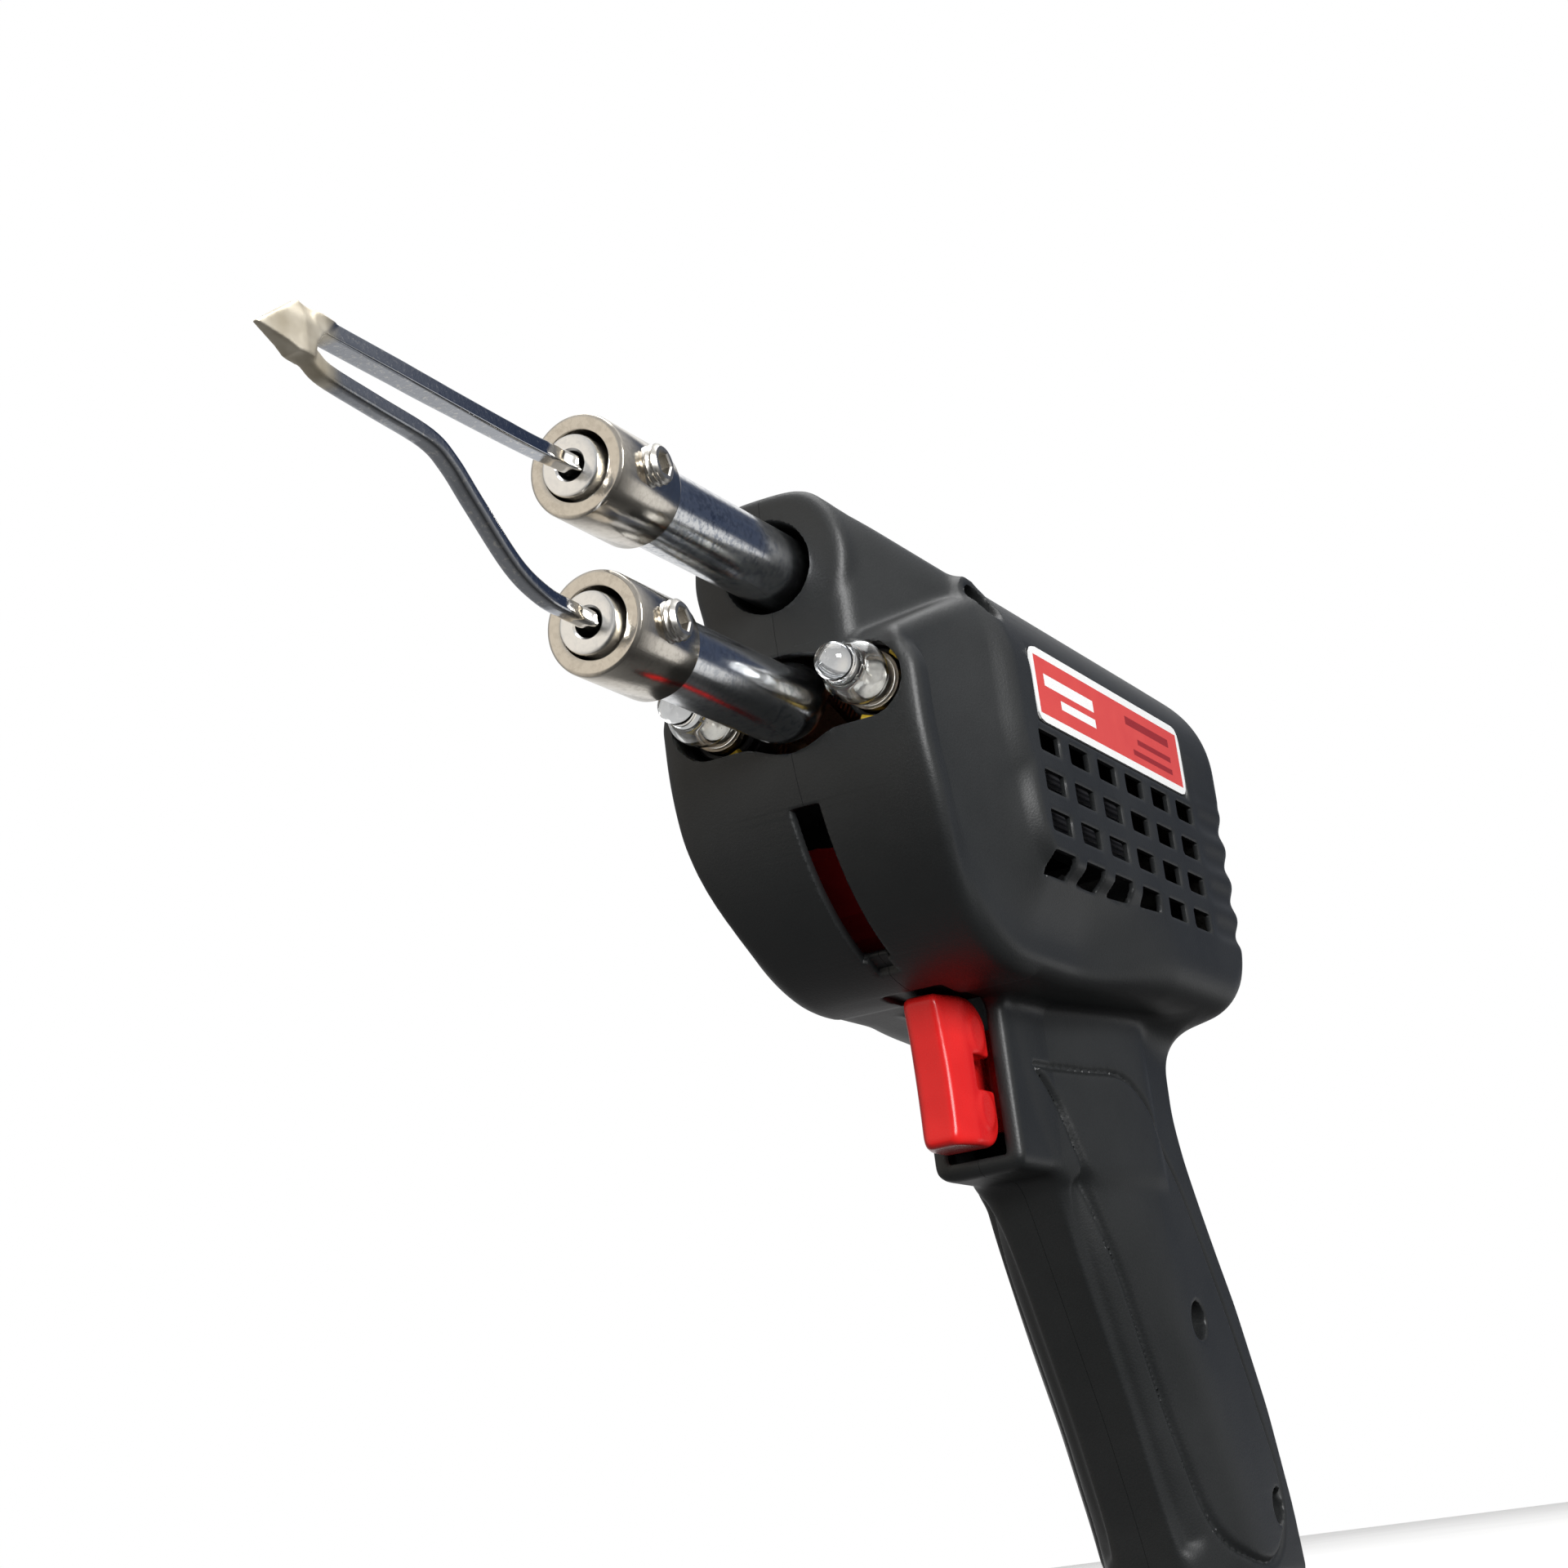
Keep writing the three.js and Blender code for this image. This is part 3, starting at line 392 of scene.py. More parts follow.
class Nodes(Tree):
    """One material and its node tree."""

    def __init__(self, name, base=(0.5, 0.5, 0.5), roughness=0.5, metallic=0.0, **sockets):
        self.material = bpy.data.materials.new(name)
        self.material.use_nodes = True
        super().__init__(self.material.node_tree)
        self.shader = self.tree.nodes["Principled BSDF"]
        self.shader.inputs["Base Color"].default_value = (*base, 1.0)
        self.shader.inputs["Roughness"].default_value = roughness
        self.shader.inputs["Metallic"].default_value = metallic
        for key, value in sockets.items():
            self.shader.inputs[key.replace("_", " ")].default_value = value
        self.place = self.add("ShaderNodeTexCoord").outputs["Object"]

    def scaled(self, stretch):
        node = self.add("ShaderNodeMapping")
        node.inputs["Scale"].default_value = stretch
        self.link(self.place, node.inputs["Vector"])
        return node.outputs["Vector"]

    def noise(self, scale, detail=3.0, rough=0.5, stretch=None):
        node = self.add("ShaderNodeTexNoise")
        node.inputs["Scale"].default_value = scale
        node.inputs["Detail"].default_value = detail
        node.inputs["Roughness"].default_value = rough
        self.link(self.scaled(stretch) if stretch else self.place, node.inputs["Vector"])
        return node.outputs["Fac"]

    def waves(self, direction, scale, distortion=0.0):
        node = self.add("ShaderNodeTexWave", bands_direction=direction)
        node.inputs["Scale"].default_value = scale
        node.inputs["Distortion"].default_value = distortion
        self.link(self.place, node.inputs["Vector"])
        return node.outputs["Fac"]

    def colour(self, value):
        self.link(value, self.shader.inputs["Base Color"])

    def roughness(self, value, low, high):
        self.link(self.spread(value, 0.0, 1.0, low, high), self.shader.inputs["Roughness"])

    def bump(self, heights, strength=0.5):
        """heights is a list of (value, depth in metres), stacked one over another."""
        normal = None
        for value, depth in heights:
            node = self.add("ShaderNodeBump")
            node.inputs["Strength"].default_value = strength
            node.inputs["Distance"].default_value = depth
            self.link(value, node.inputs["Height"])
            if normal:
                self.link(normal, node.inputs["Normal"])
            normal = node.outputs["Normal"]
        self.link(normal, self.shader.inputs["Normal"])


def moulded_plastic(name, dark, light, roughness):
    """Fine spark-eroded texture with faint handling marks."""
    m = Nodes(name)
    depth = 0.00006
    cloud = m.noise(38.0, 4.0, 0.6)
    fine = m.noise(2600.0, 2.0, 0.5)
    tint = m.ramp(cloud, [(0.3, dark), (0.72, light)])
    m.colour(m.mix(m.math("MULTIPLY", fine, 0.35), tint, tuple(min(1.0, c * 1.5) for c in light)))
    m.roughness(m.math("ADD", m.math("MULTIPLY", cloud, 0.6), m.math("MULTIPLY", fine, 0.4)),
                roughness - 0.08, roughness + 0.12)
    m.bump([(fine, depth), (m.noise(90.0, 2.0), depth * 1.5)], 0.6)
    return m.material


def glossy_plastic(name, base, deep):
    m = Nodes(name, Specular_IOR_Level=0.35)
    cloud = m.noise(60.0, 3.0)
    m.colour(m.mix(m.ramp(cloud, [(0.35, 0.0), (0.75, 1.0)]), deep, base))
    m.roughness(m.noise(500.0, 3.0), 0.20, 0.34)
    m.bump([(m.noise(240.0, 2.0), 0.00003)], 0.4)
    return m.material


def plated_metal(name, bright, dull, low, high, stretch=(0.12, 1, 1), mottle=0.5):
    """Plated or drawn metal: lengthwise draw lines, speckled patches and a polish from low to high."""
    m = Nodes(name, metallic=1.0)
    wear = 0.00002
    patches = m.noise(900.0, 4.0, 0.65)
    cloud = m.noise(70.0, 3.0)
    lines = m.noise(1500.0, 2.0, 0.5, stretch)
    mask = m.math("MULTIPLY", m.ramp(patches, [(0.46, 0.0), (0.62, 1.0)]), mottle)
    toned = m.math("MULTIPLY", mask, m.ramp(cloud, [(0.35, 0.25), (0.7, 1.0)]))
    m.colour(m.mix(toned, bright, dull))
    m.roughness(m.math("ADD", m.math("MULTIPLY", lines, 0.5), m.math("MULTIPLY", patches, 0.5)), low, high)
    m.bump([(lines, wear), (patches, wear)], 0.5)
    return m.material


def tip_metal(name):
    """Tinned copper wire: speckled legs whose dark bluish grey is a painted reflection, clean ends at the
    collars and a buff working head.
    """
    m = Nodes(name, metallic=1.0)
    along = m.axes(m.place)["X"]

    def zone(start, end):
        return m.spread(along, ORIGIN.x + start, ORIGIN.x + end)

    scuffs = m.noise(1300.0, 4.0, 0.7)
    clouds = m.noise(160.0, 3.0)
    speckle = m.ramp(scuffs, [(0.55, 0.0), (0.66, 0.8)])
    # Partly painted reflection: the darker bluish grey between the speckles stands in for the dark
    # surroundings reflected in the legs; the light speckles are scuffs.
    legs = m.mix(speckle, (0.50, 0.52, 0.56), (0.86, 0.84, 0.80))
    clean = m.mix(zone(0.0655, 0.0665), (0.92, 0.90, 0.86), legs)
    stains = m.ramp(clouds, [(0.36, 0.0), (0.66, 1.0)])
    worked = m.mix(stains, (0.82, 0.76, 0.64), (0.55, 0.49, 0.38))
    m.colour(m.mix(zone(0.1175, 0.1195), clean, worked))
    m.roughness(m.math("MAXIMUM", m.math("MULTIPLY", speckle, 0.25), zone(0.117, 0.121)), 0.05, 0.55)
    m.bump([(clouds, 0.00005), (scuffs, 0.00002)], 0.5)
    return m.material


def clear_glass(name):
    m = Nodes(name, base=(0.97, 0.98, 0.98), Transmission_Weight=1.0, IOR=1.47)
    m.roughness(m.noise(300.0, 2.0), 0.0, 0.05)
    return m.material


def wound_copper(name):
    m = Nodes(name, metallic=0.9)
    turns = m.waves("Y", 340.0, 0.6)
    # Painted shade: each turn runs from bright copper on its crown to dark brown in the groove between turns.
    m.colour(m.mix(turns, (0.16, 0.045, 0.02), (0.62, 0.26, 0.11)))
    m.roughness(m.noise(400.0), 0.25, 0.45)
    m.bump([(turns, 0.0002)], 0.8)
    return m.material


def stacked_steel(name):
    m = Nodes(name, metallic=0.6)
    sheets = m.waves("Z", 320.0)
    m.colour(m.mix(sheets, (0.010, 0.010, 0.012), (0.05, 0.05, 0.055)))
    m.roughness(m.noise(300.0), 0.35, 0.6)
    m.bump([(sheets, 0.0002)], 0.7)
    return m.material


CLOTH_Z = -41.0                   # lower edge of the black cloth tape over the coil


def insulating_tape(name):
    """Red film over the coil, with black cloth tape over its upper end."""
    m = Nodes(name)
    folds = m.noise(120.0, 3.0, 0.5, (1.0, 0.3, 1.0))
    edge = m.math("ADD", m.axes(m.place)["Z"], m.math("MULTIPLY", m.noise(90.0), 0.006))
    cloth = m.math("GREATER_THAN", edge, ORIGIN.z + CLOTH_Z * MM)
    # Painted shade: the fold troughs are darker red and the raised folds brighter red.
    red = m.mix(folds, (0.30, 0.010, 0.014), (0.80, 0.03, 0.03))
    m.colour(m.mix(cloth, red, (0.012, 0.012, 0.012)))
    m.roughness(m.noise(500.0), 0.22, 0.4)
    m.bump([(folds, 0.0008)], 0.8)
    return m.material


def bar_mask(m, along, up, x_range, z_range):
    """1 inside a rectangle of the label, 0 outside."""
    spans = [m.math("MULTIPLY", m.math("GREATER_THAN", value, low), m.math("LESS_THAN", value, high))
             for value, (low, high) in ((along, x_range), (up, z_range))]
    return m.math("MULTIPLY", *spans)


PALE_INK, DARK_INK = (0.88, 0.88, 0.87), (0.30, 0.02, 0.02)
# Each bar's span along and up the label, as shares of the label's length and height.
LABEL_BARS = [(0.62, 0.93, 0.52, 0.68, PALE_INK), (0.62, 0.84, 0.30, 0.42, PALE_INK),
              (0.09, 0.40, 0.62, 0.74, DARK_INK), (0.09, 0.33, 0.40, 0.48, DARK_INK),
              (0.09, 0.37, 0.22, 0.30, DARK_INK)]


def label_film(name, low, high):
    """Printed film: red field with a white border and plain bars in place of any wording."""
    m = Nodes(name, Coat_Weight=0.3, Coat_Roughness=0.15)
    place = m.axes(m.place)
    along, up = place["X"], place["Z"]
    border = 1.5 * MM
    length, height = high.x - low.x, high.z - low.z
    field = bar_mask(m, along, up, (low.x + border, high.x - border), (low.z + border, high.z - border))
    red = m.mix(m.noise(160.0, 3.0), (0.60, 0.055, 0.05), (0.70, 0.085, 0.07))
    colour = m.mix(field, (0.86, 0.86, 0.85), red)
    for x1, x2, z1, z2, tone in LABEL_BARS:
        mask = bar_mask(m, along, up, (low.x + x1 * length, low.x + x2 * length),
                        (low.z + z1 * height, low.z + z2 * height))
        colour = m.mix(mask, colour, tone)
    m.colour(colour)
    m.roughness(m.noise(260.0, 3.0), 0.25, 0.42)
    m.bump([(m.noise(900.0), 0.00002)], 0.3)
    return m.material


MATERIALS = {
    "charcoal": moulded_plastic("charcoal_plastic", (0.0075, 0.0085, 0.009), (0.014, 0.0152, 0.0158), 0.45),
    "trigger_red": glossy_plastic("trigger_red_plastic", (0.80, 0.020, 0.018), (0.60, 0.010, 0.010)),
    "label_red": label_film("label_film", *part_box("label_left")),
    "nickel": plated_metal("nickel_plate", (0.74, 0.69, 0.61), (0.40, 0.36, 0.31), 0.09, 0.24, mottle=0.45),
    # The barrel plate's dark bluish patches, laid on strongly, are a painted reflection of the dark
    # surroundings on the camera's side, not a tone of the plating.
    "chrome": plated_metal("barrel_plate", (0.78, 0.79, 0.80), (0.22, 0.26, 0.34), 0.08, 0.30, mottle=0.8),
    "stub": plated_metal("bright_stub", (0.97, 0.97, 0.96), (0.74, 0.75, 0.77), 0.12, 0.28, mottle=0.4),
    "tinned": tip_metal("tinned_copper"),
    "steel": plated_metal("plain_steel", (0.62, 0.60, 0.56), (0.30, 0.29, 0.28), 0.2, 0.4, (1, 1, 1)),
    "copper": plated_metal("copper_strap", (0.80, 0.42, 0.26), (0.38, 0.16, 0.09), 0.2, 0.45),
    "winding": wound_copper("enamelled_winding"),
    "laminations": stacked_steel("core_laminations"),
    "lamp_glass": clear_glass("lamp_glass"),
    "brass": plated_metal("lamp_cap_metal", (0.26, 0.22, 0.17), (0.06, 0.05, 0.05), 0.2, 0.42, (1, 1, 1)),
    "black": moulded_plastic("black_plastic", (0.008, 0.008, 0.009), (0.018, 0.018, 0.019), 0.5),
    "tape": insulating_tape("coil_tape_film"),
    "yellow": glossy_plastic("yellow_insulation", (0.72, 0.50, 0.04), (0.55, 0.36, 0.03)),
}

CAD_MATERIALS = {
    "transformer_core": "laminations", "coil_bobbin": "black", "primary_coil": "winding",
    "secondary_turn": "copper", "switch_body": "black", "switch_plunger": "steel",
    "primary_lead_left": "black", "primary_lead_right": "black", "cord_clamp": "steel",
    "clamp_screw_left": "steel", "clamp_screw_right": "steel",
}


def paint(obj, key):
    obj.data.materials.clear()
    obj.data.materials.append(MATERIALS[key])


def finish_piece(obj, key, body, nodes):
    """Material, replaced CAD nodes and body of one new piece."""
    paint(obj, key)
    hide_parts(*nodes)
    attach(obj, body)


# ---- housing ----

WALL = 2.4
VENT_WALL = 1.2                   # the side panels are thinner behind the vents
SEAM_Y = 0.035                    # half the gap between the housing halves
HALF = 29.0                       # side panels
WAIST_HALF = 21.4                 # behind the front block
ROOF_Z = 12.5
REAR_X = -138.0
REAR_LOW = (-115.5, -44.5, 22.5)  # centre and radius of the round over the grip
REAR_TOP = (-127.0, 1.5, 11.0)
REAR_EDGE = 12.5                  # round of the upright rear edges
BELLY = (-40.0, -27.0)            # centre of the nose and belly round
BELLY_RADIUS = 40.0
RIDGE_HEIGHT = 0.8
VENT_TOP, VENT_FRONT = -29.0, -40.1
VENT_PITCH_X, VENT_PITCH_Z = 13.24, 7.0
VENT_HALF = (4.3, 1.75)
LAMP_RIM_Y, LAMP_Z = 15.0, -23.0
BOSS_RADIUS, BOSS_TOP = 14.2, 12.6
# The grip by height: its front edge, rear edge and half width.
GRIP_FRONT = [(-60, -56), (-80, -59), (-92, -65), (-99, -70.4), (-108.7, -75.8), (-116.5, -80.1),
              (-138, -91.6), (-156, -99.6), (-172, -105.6)]
GRIP_REAR = [(-60, -126.5), (-74, -123.6), (-84, -122.8), (-92, -125.2), (-100.5, -129.6),
             (-109.6, -134.6), (-118.6, -140.0), (-138, -148.6), (-156, -153), (-172, -154)]
GRIP_HALF = [(-60, 15.4), (-100, 15.6), (-138, 16.0), (-156, 16.4), (-172, 17.0)]
REAR_ROUND = 16.0
FLANK_FRONT = 8.4                 # half width of the grip just behind the trigger
FLANK_START = -68.0
PLATE_X = -51.6                   # front plate round the trigger
LIP_Z = -96.5                     # underside of the lip below the trigger
# Outline of the raised panel on each flank, then the valley in front of it, in x and z.
PANEL = [(-61.6, -78), (-70.2, -77.8), (-77.8, -78), (-85.7, -78), (-89.5, -78.6), (-92.3, -79.8),
         (-96.7, -83.4), (-100.3, -88.5), (-107.6, -96.1), (-114.1, -105.5), (-117.7, -111.3),
         (-124, -122), (-132, -138), (-137, -151), (-134, -161), (-125, -165.5), (-115, -163),
         (-108, -157), (-101, -145), (-93, -130), (-85, -114.5), (-78.9, -104), (-74.5, -96),
         (-71.2, -89.1), (-68.7, -84), (-63.1, -79.1)]
FLUTE = [(-74.3, -98.5), (-75, -101.5), (-78, -109.7), (-81.5, -118), (-89.5, -134), (-97.5, -149),
         (-104, -160)]
PANEL_RISE = 0.3
GROOVE_DEPTH, GROOVE_WIDTH = 0.95, 0.55
FLUTE_DEPTH, FLUTE_WIDTH = 1.2, 1.9
SHOULDER_SCREW = (-30.0, -5.2)
HANDLE_SCREWS = [(-107.0, -122.0), (-134.0, -156.0)]
SCREW_HEAD, SCREW_SHANK = 3.5, 1.8
SHOULDER_SEAT, HANDLE_SEAT = 16.3, 9.3
PILLAR_RADIUS = 4.6
INLET_X = -129.0
INLET_RADIUS, INLET_RING = 7.2, 9.7
BORE_RADIUS, BORE_WALL = 7.8, 12.6
TRIGGER_SLOT_HALF, TRIGGER_Z, TRIGGER_TALL = 5.4, -79.8, 13.8
CUT_ROUND = 0.35                  # round on the edge of every opening
HOUSING_STEP = 0.5
HOUSING_TRIANGLES = 180000        # most that each half keeps


def roof_field(y, z):
    """Flat roof with sloping shoulders."""
    return blend_max(z - ROOF_Z, (z + 0.96 * y - 19.8) / math.hypot(1.0, 0.96), 5.0)


def nose_turn(x, z):
    """Angle round the nose and belly curve, from 0 at the front to 1.5 underneath."""
    return np.clip(np.arctan2(BELLY[1] - z, np.maximum(x - BELLY[0], 0.5)), 0.0, 1.5)


def head_field(x, y, z):
    """Outer surface of the head: nose, belly, roof, side panels and rear."""
    front = corner_distance(x - BELLY[0], BELLY[1] - z, BELLY_RADIUS)
    rear_low = corner_distance(REAR_LOW[0] - x, REAR_LOW[1] - z, REAR_LOW[2])
    rear_top = corner_distance(REAR_TOP[0] - x, z - REAR_TOP[1], REAR_TOP[2])
    profile = blend_max(blend_max(front, rear_low, 1.0), rear_top, 1.0)
    turn = nose_turn(x, z)
    sweep = 27.0 - 12.0 * smooth_step(0.6, 1.5, turn)
    rise = np.clip((-front - 4.0) / sweep, 0.0, 1.0)
    flare = rise**1.45 * (1.0 - smooth_step(0.75, 1.0, rise)) + smooth_step(0.75, 1.0, rise)
    hollow = (HALF - WAIST_HALF) * (1.0 - flare) * smooth_step(-92.0, -55.0, x)
    side = (y - HALF + hollow) * 0.97
    side = np.maximum(side, corner_distance(REAR_X + REAR_EDGE - x, y - (HALF - REAR_EDGE), REAR_EDGE))
    ridges = 0.5 - 0.5 * np.cos((z - VENT_TOP) * (2.0 * math.pi / VENT_PITCH_Z))
    ridge_zone = smooth_step(-110.0, -118.0, x) * smooth_step(-55.0, -51.0, z) * smooth_step(-22.5, -26.0, z)
    side = side + RIDGE_HEIGHT * (1.0 - ridges) * ridge_zone
    profile = profile + RIDGE_HEIGHT * (1.0 - ridges) * ridge_zone * smooth_step(6.0, 12.0, y)
    low_round = 3.5 + 5.0 * smooth_step(-62.0, -88.0, x)
    walls = blend_max(profile, side, 1.5 + low_round * smooth_step(-30.0, -48.0, z))
    return blend_max(walls, roof_field(y, z), 7.0)


def nose_plate_field(x, y, z):
    """Front block that stands a little proud of the flared sides; its rim runs round the lamps."""
    front = corner_distance(x - BELLY[0], BELLY[1] - z, BELLY_RADIUS)
    shell = np.maximum(front, -(front + 7.0))
    rim = corner_distance(y - LAMP_RIM_Y, z - LAMP_Z, 8.4) + 3.8 * smooth_step(0.3, 1.15, nose_turn(x, z))
    return blend_max(blend_max(shell, rim, 2.6), -44.0 - x, 3.0)


def cheek_field(x, y, z):
    """Hollow above each lamp between the boss and the shoulder; it is cut away."""
    above = (-16.3 + (2.0 - x) * 12.5 / 28.0 - z) / math.hypot(1.0, 12.5 / 28.0)
    outside = (13.0 + (0.0 - x) * 9.3 / 26.0 - y) / math.hypot(1.0, 9.3 / 26.0)
    return blend_max(blend_max(above, outside, 1.4), -27.0 - x, 2.0)


def boss_field(x, y, z):
    """Round nose boss with a flattened top and a step at its neck."""
    neck = BOSS_RADIUS - 0.7 * smooth_step(-6.0, -7.5, x)
    return np.maximum(blend_max(blend_max(np.hypot(y, z) - neck, z - BOSS_TOP, 2.0), x, 2.6), -20.0 - x)


def grip_section(x, y, rear_x, half, flank):
    """Level section of the grip: flanks that widen backwards, flat sides and a rounded rear."""
    side = blend_max((y - flank) * 0.95, y - half, 3.0)
    behind = np.minimum(x - (rear_x + REAR_ROUND), 0.0)
    rear = np.hypot(behind, y * REAR_ROUND / half) - REAR_ROUND
    rear = np.where(x > rear_x + REAR_ROUND, -50.0, rear)
    return np.maximum(side, rear)


def grip_field(x, y, z):
    """Swept grip with the block round the trigger, and a raised panel in a groove on each flank."""
    front_x = smooth_profile(z, GRIP_FRONT)
    rear_x = smooth_profile(z, GRIP_REAR)
    half = smooth_profile(z, GRIP_HALF)
    flank = FLANK_FRONT + 7.4 * np.clip((FLANK_START - x) / 29.0, 0.0, 1.0)
    near = blend_min(flank, 7.7 + 0.45 * (front_x - x), 2.5)
    grip = blend_max(grip_section(x, y, rear_x, half, near), (x - front_x) * 0.93, 2.6)
    block = grip_section(x, y, rear_x, half, flank)
    block = blend_max(block, x - PLATE_X, 1.8)
    block = blend_max(block, np.maximum(LIP_Z - z, -100.0 - x), 3.0)
    both = blend_min(grip, block, 3.0)
    outline = rounded_path(PANEL + [PANEL[0]], 4)
    edge = polygon_distance(x, z, outline[:-1])
    on_flank = smooth_step(5.5, 7.0, y)
    raised = PANEL_RISE * smooth_step(0.6, -0.6, edge)
    groove = GROOVE_DEPTH * np.exp(-((edge / GROOVE_WIDTH) ** 2))
    flute = polyline_distance(x, z, rounded_path(FLUTE, 4))
    valley = FLUTE_DEPTH * np.exp(-((flute / FLUTE_WIDTH) ** 2))
    both = both - on_flank * (raised - groove - valley)
    both = blend_max(both, BASE_Z - z, 3.5)
    return np.maximum(both, z + 58.0)


def outer_field(x, y, z):
    head = blend_min(head_field(x, y, z), nose_plate_field(x, y, z), 0.6)
    head = blend_max(head, -cheek_field(x, y, z), 3.0)
    head = blend_min(head, boss_field(x, y, z), 0.8)
    fillet = 3.0 + 7.0 * smooth_step(-96.0, -112.0, x)
    return blend_min(head, grip_field(x, y, z), fillet)


def lamp_opening_field(x, y, z):
    """Opening in the nose: a round hole for each lamp and a wider one between them."""
    pocket = np.hypot(np.maximum(y - 14.6, 0.0), z - LAMP_Z) - 6.2
    middle = np.hypot(y, z + 23.6) - 7.9
    return np.maximum(blend_min(pocket, middle, 3.0), -(x + 9.0))


def belly_slot_field(x, y, z):
    """Long slot round the belly, with a short narrower one below it."""
    bx, bz = BELLY
    radius = np.hypot(x - bx, z - bz)
    angle = np.degrees(np.arctan2(z - bz, x - bx))
    ends = np.maximum(angle + 19.5, -63.5 - angle) * (math.pi / 180.0) * BELLY_RADIUS
    slot = np.maximum(np.maximum(y - 2.5, ends), np.abs(radius - 38.5) - 5.5)
    tab_ends = np.maximum(angle + 61.0, -69.5 - angle) * (math.pi / 180.0) * BELLY_RADIUS
    tab = np.maximum(np.maximum(y - 1.7, tab_ends), np.abs(radius - 41.5) - 2.6)
    return np.minimum(slot, tab)


def vent_field(x, y, z):
    """Six columns of four slots through each side panel."""
    column = np.clip(np.round((VENT_FRONT - x) / VENT_PITCH_X), 0, 5)
    row = np.clip(np.round((VENT_TOP - z) / VENT_PITCH_Z), 0, 3)
    dx = np.abs(x - (VENT_FRONT - VENT_PITCH_X * column)) - VENT_HALF[0]
    dz = np.abs(z - (VENT_TOP - VENT_PITCH_Z * row)) - VENT_HALF[1]
    return np.maximum(blend_max(dx, dz, 0.5), 20.0 - y)


def pin_distance(x, z, place, radius):
    """Distance outside a round pin or hole that lies along Y."""
    return np.hypot(x - place[0], z - place[1]) - radius


def label_recess_field(x, y, z):
    low, high = local_box("label_left")
    gap = 0.3
    outline = np.maximum(np.abs(x - (low.x + high.x) / 2) - (high.x - low.x) / 2 - gap,
                         np.abs(z - (low.z + high.z) / 2) - (high.z - low.z) / 2 - gap)
    return np.maximum(outline, HALF - 0.7 - y)


def trigger_slot_field(x, y, z):
    section = np.maximum(y - TRIGGER_SLOT_HALF, np.abs(z - TRIGGER_Z) - TRIGGER_TALL)
    return np.maximum(section, np.maximum(-58.0 - x, x + 34.0))


def inlet_fields(x, y, z):
    """The cord's hole through the base, and the groove that holds its bush."""
    radial = np.hypot(x - INLET_X, y)
    hole = np.maximum(radial - INLET_RADIUS, z - (BASE_Z + 12.0))
    groove = np.maximum(radial - INLET_RING, np.abs(z - (BASE_Z + 4.2)) - 1.3)
    return [hole, groove]


def screw_fields(x, y, z, side):
    """Holes for the housing screws; their heads sit in deep recesses on the left side only."""
    places = [SHOULDER_SCREW, *HANDLE_SCREWS]
    cuts = [np.maximum(pin_distance(x, z, place, SCREW_SHANK), y - 30.0) for place in places]
    if side > 0:
        seats = [SHOULDER_SEAT, HANDLE_SEAT, HANDLE_SEAT]
        cuts += [np.maximum(pin_distance(x, z, place, SCREW_HEAD), seat - y)
                 for place, seat in zip(places, seats)]
    return cuts


def hollow_field(x, y, z, outer):
    """Space inside the shell, which stops short of the boss's thick wall."""
    louvres = smooth_step(-30.0, -36.0, x) * smooth_step(-118.0, -112.0, x)
    louvres = louvres * smooth_step(-56.0, -52.0, z) * smooth_step(-22.0, -26.0, z)
    hollow = outer + WALL - (WALL - VENT_WALL) * louvres
    boss_wall = np.maximum(np.hypot(y, z) - BORE_WALL, -(x + 16.0))
    return np.maximum(hollow, -boss_wall)


def housing_field(side):
    """Field of one housing half; y is measured outwards from the seam."""

    def field(x, y, z):
        outer = outer_field(x, y, z)
        if side > 0:
            collar_wall = np.maximum(pin_distance(x, z, SHOULDER_SCREW, 5.0), y - 22.4)
            outer = blend_min(outer, np.maximum(collar_wall, 12.0 - y), 2.0)
        shell = np.maximum(outer, -hollow_field(x, y, z, outer))
        for place in [SHOULDER_SCREW, *HANDLE_SCREWS]:
            shell = np.minimum(shell, np.maximum(pin_distance(x, z, place, PILLAR_RADIUS), outer))
        floor = np.maximum(np.maximum(np.hypot(x - INLET_X, y) - 12.4, z - (BASE_Z + 8.0)), outer)
        shell = np.minimum(shell, floor)
        bore = np.maximum(np.hypot(y, z) - BORE_RADIUS, -20.0 - x)
        cuts = [bore, lamp_opening_field(x, y, z), belly_slot_field(x, y, z), vent_field(x, y, z),
                label_recess_field(x, y, z), trigger_slot_field(x, y, z), *inlet_fields(x, y, z),
                *screw_fields(x, y, z, side)]
        for cut in cuts:
            shell = blend_max(shell, -cut, CUT_ROUND)
        return shell

    return field


def housing_half(name, side, step):
    """One half, cut off flat at the seam so that the halves meet in a fine line."""
    low, high = (-156.0, -1.5, BASE_Z - 1.5), (1.5, 31.0, 16.0)
    points, quads = field_mesh(housing_field(side), low, high, step)
    points[:, 1] *= side
    if side < 0:
        quads = quads[:, ::-1]
    obj = new_object(name, points, quads)
    work = bmesh.new()
    work.from_mesh(obj.data)
    parts = [*work.verts, *work.edges, *work.faces]
    cut = bmesh.ops.bisect_plane(work, geom=parts, plane_co=(0.0, side * SEAM_Y * MM, 0.0), dist=1e-7,
                                 plane_no=(0.0, -side, 0.0), clear_outer=True)
    rim = [part for part in cut["geom_cut"] if isinstance(part, bmesh.types.BMEdge)]
    bmesh.ops.triangle_fill(work, edges=rim, normal=(0.0, -side, 0.0), use_beauty=False)
    bmesh.ops.split_edges(work, edges=rim)
    work.to_mesh(obj.data)
    work.free()
    obj.data.set_sharp_from_angle(angle=math.radians(38))
    thin = obj.modifiers.new("thin_flats", "DECIMATE")
    thin.ratio = min(1.0, HOUSING_TRIANGLES / (2.0 * len(quads)))
    return obj


